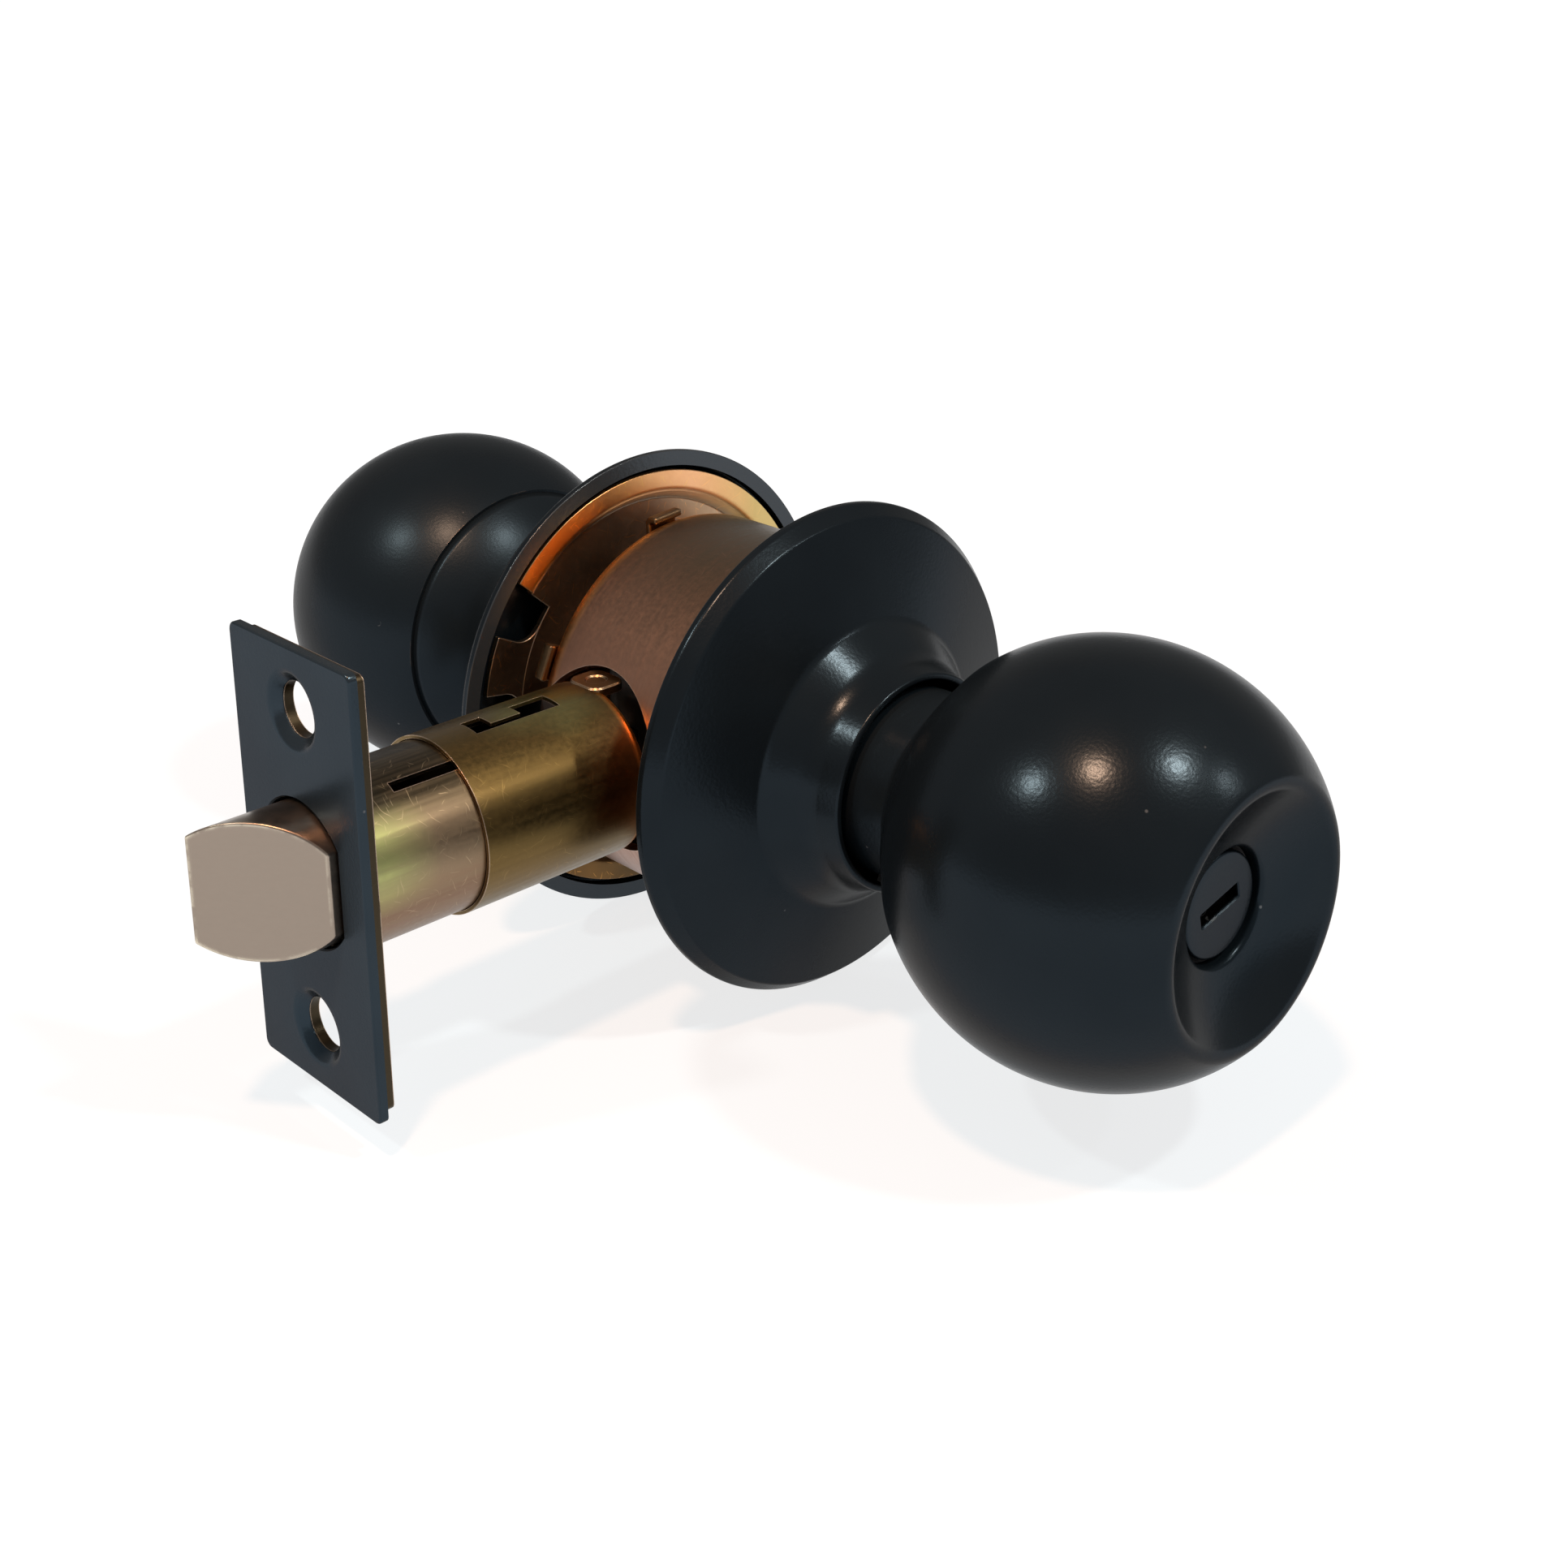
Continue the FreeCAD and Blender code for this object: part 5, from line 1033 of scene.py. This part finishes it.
def bolt_solid():
    """The bolt: a flat-sided rod, its end cut by a slant and by a short face that falls back past the tip.

    At the place y the end lies at the greater x of the two planes, whose edge runs from top to bottom.
    """
    edge = BOLT_FLAT - NOSE_WIDTH
    height = np.sqrt(BOLT_RADIUS ** 2 - edge ** 2)
    section = flatted(BOLT_RADIUS, BOLT_FLAT, 60)
    near = np.argmin(np.abs(section[None] - np.array([[[edge, height]], [[edge, -height]]])).sum(2), axis=1)
    section[near] = [(edge, height), (edge, -height)]
    across = section[:, 0]
    slant = BEVEL_BACK + (across + BOLT_FLAT) * (BOLT_TIP - BEVEL_BACK) / (edge + BOLT_FLAT)
    tip = np.where(across <= edge, slant, BOLT_TIP + (across - edge) * NOSE_DEPTH / NOSE_WIDTH)
    count = len(section)
    rear = np.column_stack([np.full(count, BOLT_REAR), section])
    points, faces = grid(np.stack([rear, np.column_stack([tip, section])]), False, True)
    faces.append(list(range(count)))
    first, second = sorted(near.tolist())
    faces.append([count + index for index in range(first, second + 1)])
    faces.append([count + index % count for index in range(second, first + count + 1)])
    return points, faces


def prongs():
    """Two flat tongues at the end of the rear tube, each with a round dimple."""
    made = []
    length = PRONG_TIP - PRONG_ROOT
    shape = rectangle(length, PRONG_WIDTH, PRONG_CORNER, 8)
    angles = shared_angles(shape)
    ring = np.stack([np.cos(angles), np.sin(angles)], 1)
    shape = reach_of(shape, angles)
    middle = np.array([(PRONG_TIP + PRONG_ROOT) / 2, 0.0])
    smaller = rectangle(length - 2 * PRONG_EDGE, PRONG_WIDTH - 2 * PRONG_EDGE, PRONG_CORNER - PRONG_EDGE, 8)
    inset = reach_of(smaller, angles)
    levels = [
        (shape, PRONG_LOW), (shape, PRONG_HIGH - PRONG_EDGE), (inset, PRONG_HIGH),
        (ring * DIMPLE_RADIUS, PRONG_HIGH), (ring * (DIMPLE_RADIUS - PRONG_EDGE), PRONG_HIGH - PRONG_EDGE),
        (ring * 0.2, PRONG_HIGH - 0.25),
    ]
    for way in (1, -1):
        made.append(loft([
            np.column_stack([outline + middle, np.full(len(outline), level * way)])
            for outline, level in levels
        ]))
    return joined(*made)


class KNOBSET_OT_latch(bpy.types.Operator):
    """Makes the latch's sleeve, rear tube with its prongs, and bolt"""
    bl_idname = "knobset.latch"
    bl_label = "Latch"

    def execute(self, context):
        sleeve = SLEEVE_RADIUS - SLEEVE_WALL / 2
        start = FACE_FRONT + FACE_SHEET + BACKING_SHEET
        path = np.array([(sleeve, start), (sleeve, SLEEVE_END)])
        shape = tube_sheet(path, SLEEVE_WINDOWS)
        add_piece("latch_front_sleeve", shape, "sleeve_zinc", sheet=SLEEVE_WALL, edge=TUBE_EDGE)
        tube, end = TUBE_RADIUS - TUBE_WALL / 2, TUBE_END - TUBE_WALL / 2
        corners, bend = [(tube, TUBE_MOUTH), (tube, end), (TUBE_HOLE, end)], TUBE_ROUND - TUBE_WALL / 2
        shape = tube_sheet(rounded(corners, [0, bend, 0], 10, closed=False), TUBE_WINDOWS)
        add_piece("latch_rear_tube", shape, "tube_zinc", sheet=TUBE_WALL, edge=TUBE_EDGE)
        add_piece("latch_rear_tube", prongs(), "bracket_zinc", name="latch_prongs_form")
        add_piece("latch_bolt", bolt_solid(), "satin_nickel", edge=BOLT_EDGE)
        return {"FINISHED"}


# Copies whose finish isn't named like their slot, and the joint listed for each spring

# The backs' finishes are paler copies of the coat, as painted light
BACK_FINISHES = {"inside_knob_back": "inside_neck_black_painted_light", "outside_knob_back": "neck_black_painted_light"}
SPRINGS = {"retractor_springs": "retractor_slide", "bolt_spring": "latch_bolt_slide",
           "outside_catch_spring": "outside_catch_press", "inside_catch_spring": "inside_catch_press"}


def shorten(spring):
    """Reads a spring's points and gives it its own copy of its mesh; it does not press the spring."""
    places = np.empty(3 * len(spring.data.vertices))
    spring.data.vertices.foreach_get("co", places)
    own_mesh(spring)


class KNOBSET_OT_inner(bpy.types.Operator):
    """Gives every CAD node that still shows a smooth welded copy with its material"""
    bl_idname = "knobset.inner"
    bl_label = "Inner pieces"

    def execute(self, context):
        for name, original in sorted(frame["nodes"].items()):
            if original.hide_render:
                continue
            mesh = original.data.copy()
            weld(mesh)
            mesh.materials.clear()
            made = put_in_place(f"{name}_form", mesh, BACK_FINISHES.get(name, SLOTS[name]), name)
            if name in SPRINGS:
                shorten(made)
        return {"FINISHED"}


# Stage

def direction(azimuth, height):
    """Unit vector to an azimuth, 0 at -Y and growing towards +X, and a height above the horizon."""
    a, h = np.radians(azimuth), np.radians(height)
    return np.array([np.sin(a) * np.cos(h), -np.cos(a) * np.cos(h), np.sin(h)])


def add_camera(settings):
    """Camera by the direction it looks from, its roll, its distance and how far it stands off that line."""
    back = direction(settings.camera_azimuth, settings.camera_height)
    a = np.radians(settings.camera_azimuth)
    right = np.array([np.cos(a), np.sin(a), 0.0])
    up = np.cross(back, right)
    roll = np.radians(settings.camera_roll)
    right, up = np.cos(roll) * right + np.sin(roll) * up, -np.sin(roll) * right + np.cos(roll) * up
    place = back * settings.camera_distance + right * settings.camera_right + up * settings.camera_up
    data = bpy.data.cameras.new("photo_camera")
    data.lens = settings.camera_lens
    data.shift_x, data.shift_y = settings.camera_shift
    data.clip_start = 0.01
    camera = bpy.data.objects.new("photo_camera", data)
    pose = np.eye(4)
    pose[:3, 0], pose[:3, 1], pose[:3, 2], pose[:3, 3] = right, up, back, place
    camera.matrix_world = Matrix(pose.tolist())
    bpy.context.scene.collection.objects.link(camera)
    bpy.context.scene.camera = camera


def add_lamps(settings):
    """Small disc lamps in a row above and behind the camera, facing the middle of the set."""
    for index, (azimuth, height, width, power, color) in enumerate(LAMPS):
        data = bpy.data.lights.new(f"lamp_{index + 1}", "AREA")
        data.shape, data.size = "DISK", width
        data.energy, data.color = power * settings.lamp_level, color
        lamp = bpy.data.objects.new(f"lamp_{index + 1}", data)
        way = Vector(direction(azimuth, height))
        lamp.location = way * settings.lamp_distance
        lamp.rotation_euler = way.to_track_quat("Z", "Y").to_euler()
        bpy.context.scene.collection.objects.link(lamp)


def add_world(settings):
    """White background to see and to mirror at the horizon, and a grey ceiling that lights from above."""
    world = bpy.data.worlds.new("studio")
    bpy.context.scene.world = world
    world.use_nodes = True
    tree = world.node_tree
    tree.nodes.clear()
    rays = node(tree, "LightPath").outputs
    height = node(tree, "SeparateXYZ", {"Vector": node(tree, "TexCoord").outputs["Generated"]}).outputs["Z"]
    low = reached(tree, height, 0.0, 0.03, 1.0, 0.0)
    straight = calculated(tree, "MAXIMUM", rays["Is Camera Ray"], rays["Is Transmission Ray"])
    white = calculated(tree, "MAXIMUM", straight, times(tree, rays["Is Glossy Ray"], low))
    ceiling = reached(tree, height, 0.0, 0.8, settings.horizon_level, settings.ceiling_level)
    strength = calculated(tree, "MAXIMUM", white, ceiling)
    background = node(tree, "Background", {"Color": (1, 1, 1, 1), "Strength": strength})
    node(tree, "OutputWorld", {0: background.outputs[0]})


def add_floor(settings):
    """A pale floor under the roses, which shows white where nothing shades it."""
    size, low = FLOOR_SIZE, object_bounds()[0][2] - FLOOR_GAP
    corners = [(-size, -size, low), (size, -size, low), (size, size, low), (-size, size, low)]
    mesh = bpy.data.meshes.new("floor")
    mesh.from_pydata(corners, [], [(0, 1, 2, 3)])
    floor = bpy.data.objects.new("floor", mesh)
    bpy.context.scene.collection.objects.link(floor)
    made = bpy.data.materials.new("floor_white")
    made.use_nodes = True
    tree = made.node_tree
    tree.nodes.clear()
    rays = node(tree, "LightPath").outputs
    mirrored = calculated(tree, "MAXIMUM", rays["Is Transmission Ray"], rays["Is Glossy Ray"])
    seen = calculated(tree, "MAXIMUM", rays["Is Camera Ray"], mirrored)
    away = vectors(tree, "LENGTH", node(tree, "TexCoord").outputs["Object"], output="Value")
    level = reached(tree, away, 0.12, 0.45, settings.floor_glow, 1.0)
    glow = node(tree, "Emission", {"Color": (1, 1, 1, 1), "Strength": times(tree, seen, level)})
    paint = node(tree, "BsdfDiffuse", {"Color": (*FLOOR_PAINT, 1)})
    both = node(tree, "AddShader", {0: glow.outputs[0], 1: paint.outputs[0]})
    node(tree, "OutputMaterial", {0: both.outputs[0]})
    mesh.materials.append(made)
    floor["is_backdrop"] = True


class KNOBSET_OT_stage(bpy.types.Operator):
    """Makes the floor, the world, the lamps and the photograph's camera"""
    bl_idname = "knobset.stage"
    bl_label = "Stage"

    def execute(self, context):
        settings = context.scene.knob_set
        context.scene.view_settings.view_transform = "Standard"
        add_world(settings)
        add_floor(settings)
        add_lamps(settings)
        add_camera(settings)
        return {"FINISHED"}


def color_setting(name, description, default):
    """A colour that a user may change."""
    return bpy.props.FloatVectorProperty(
        name=name, description=description, subtype="COLOR", default=default, min=0, max=1)


def number_setting(name, description, default, **limits):
    """A number that a user may change."""
    return bpy.props.FloatProperty(name=name, description=description, default=default, **limits)


def share_setting(name, description, default):
    """A number from 0 to 1 that a user may change."""
    return number_setting(name, description, default, min=0, max=1)


def length_setting(name, description, default):
    """A length in metres that a user may change."""
    return number_setting(name, description, default, unit="LENGTH")


class KnobSetSettings(bpy.types.PropertyGroup):
    """What a user may change"""
    segments: bpy.props.IntProperty(
        name="Segments", description="Sides of the round pieces", default=192, min=24, max=512)
    turn_angle: number_setting("Turn", "Turn of the slot and the grip at rest, in degrees", 13.0)
    coat_dark: color_setting("Coat, dark", "Darker colour of the black coating", (0.0115, 0.0180, 0.0245))
    coat_light: color_setting("Coat, light", "Lighter colour of the black coating", (0.0145, 0.0225, 0.0300))
    coat_roughness: share_setting("Coat roughness", "Roughness of the black coating", 0.235)
    coat_gloss: share_setting("Coat gloss", "Specular level of the black coating", 0.38)
    coat_metal: share_setting("Coat metal", "Share of metal in the black coating", 0.55)
    tube_color: color_setting("Tube", "Olive gold of the rear tube and the plates", (0.165, 0.108, 0.038))
    sleeve_color: color_setting("Sleeve", "Grey gold of the front sleeve", (0.400, 0.310, 0.195))
    housing_color: color_setting("Housing", "Brown rose of the housing", (0.300, 0.158, 0.105))
    # The next three colours are painted highlights on the plate's rim; the first is also the painted glint
    # on the housing's rear edge and the tube's rounded end
    painted_glint_color: color_setting(
        "Plate, orange", "Orange of the plate's rim at its left", (0.980, 0.460, 0.110))
    rim_color: color_setting("Plate, rose", "Rose gold of the plate's rim at its top", (0.980, 0.550, 0.300))
    painted_lemon_glint_color: color_setting(
        "Plate, lemon", "Yellow of the plate's rim at its right", (0.600, 0.450, 0.185))
    # Painted shade down in the plate's dish
    painted_dish_shade_color: color_setting("Plate, dish", "Dark brown down in the plate's dish", (0.360, 0.300, 0.235))
    rose_color: color_setting("Rose", "Rose colour of the zinc's film", (0.250, 0.155, 0.100))
    green_color: color_setting("Green", "Green colour of the zinc's film", (0.460, 0.470, 0.190))
    nickel_color: color_setting("Nickel", "Colour of the bolt", (0.315, 0.262, 0.216))
    dust_amount: share_setting("Dust", "Share of places with a dust speck", 0.03)
    wear_start: share_setting("Wear start", "Noise level at which an edge of the coating shows wear", 0.58)
    ceiling_level: share_setting("Ceiling", "Brightness of the studio ceiling", 0.25)
    horizon_level: share_setting("Horizon", "Brightness of the walls round the set", 0.35)
    floor_glow: share_setting("Floor glow", "Own brightness of the floor", 0.78)
    lamp_level: number_setting("Lamp level", "Strength of all lamps together", 1.15, min=0)
    lamp_distance: length_setting("Lamp distance", "Distance of the lamps", 1.0)
    camera_azimuth: number_setting("Azimuth", "Direction that the camera looks from, in degrees", -42.116)
    camera_height: number_setting("Height", "Height of the camera in degrees", 17.934)
    camera_roll: number_setting("Roll", "Turn of the camera about its view in degrees", -1.056)
    camera_distance: length_setting("Distance", "Distance of the camera", 0.298338)
    camera_right: length_setting("Right", "How far the camera stands to the right", -0.004221)
    camera_up: length_setting("Up", "How far the camera stands up", 0.025424)
    camera_lens: number_setting("Lens", "Focal length in millimetres", 49.35638)
    camera_shift: bpy.props.FloatVectorProperty(
        name="Shift", description="Shift of the picture's middle", size=2, default=(0.049690, -0.163561))


class KNOBSET_PT_panel(bpy.types.Panel):
    """Lists the steps in order, and their settings"""
    bl_idname = "KNOBSET_PT_panel"
    bl_label = "Privacy knob set"
    bl_space_type = "VIEW_3D"
    bl_region_type = "UI"
    bl_category = "Knob set"

    def draw(self, context):
        for step in STEPS:
            self.layout.operator(step.bl_idname)
        for key in KnobSetSettings.__annotations__:
            self.layout.prop(context.scene.knob_set, key)


STEPS = (
    KNOBSET_OT_roses, KNOBSET_OT_knobs, KNOBSET_OT_centres, KNOBSET_OT_housing, KNOBSET_OT_plates,
    KNOBSET_OT_faceplate, KNOBSET_OT_latch, KNOBSET_OT_inner, KNOBSET_OT_stage,
)


def register():
    """Makes the steps, the settings and the panel known to Blender."""
    for item in (KnobSetSettings, *STEPS, KNOBSET_PT_panel):
        bpy.utils.register_class(item)
    bpy.types.Scene.knob_set = bpy.props.PointerProperty(type=KnobSetSettings)


def unregister():
    """Takes them away again."""
    del bpy.types.Scene.knob_set
    for item in reversed((KnobSetSettings, *STEPS, KNOBSET_PT_panel)):
        bpy.utils.unregister_class(item)


def main():
    """Runs every step."""
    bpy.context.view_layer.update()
    register()
    for step in STEPS:
        group, name = step.bl_idname.split(".")
        getattr(getattr(bpy.ops, group), name)()


if __name__ == "__main__":
    main()
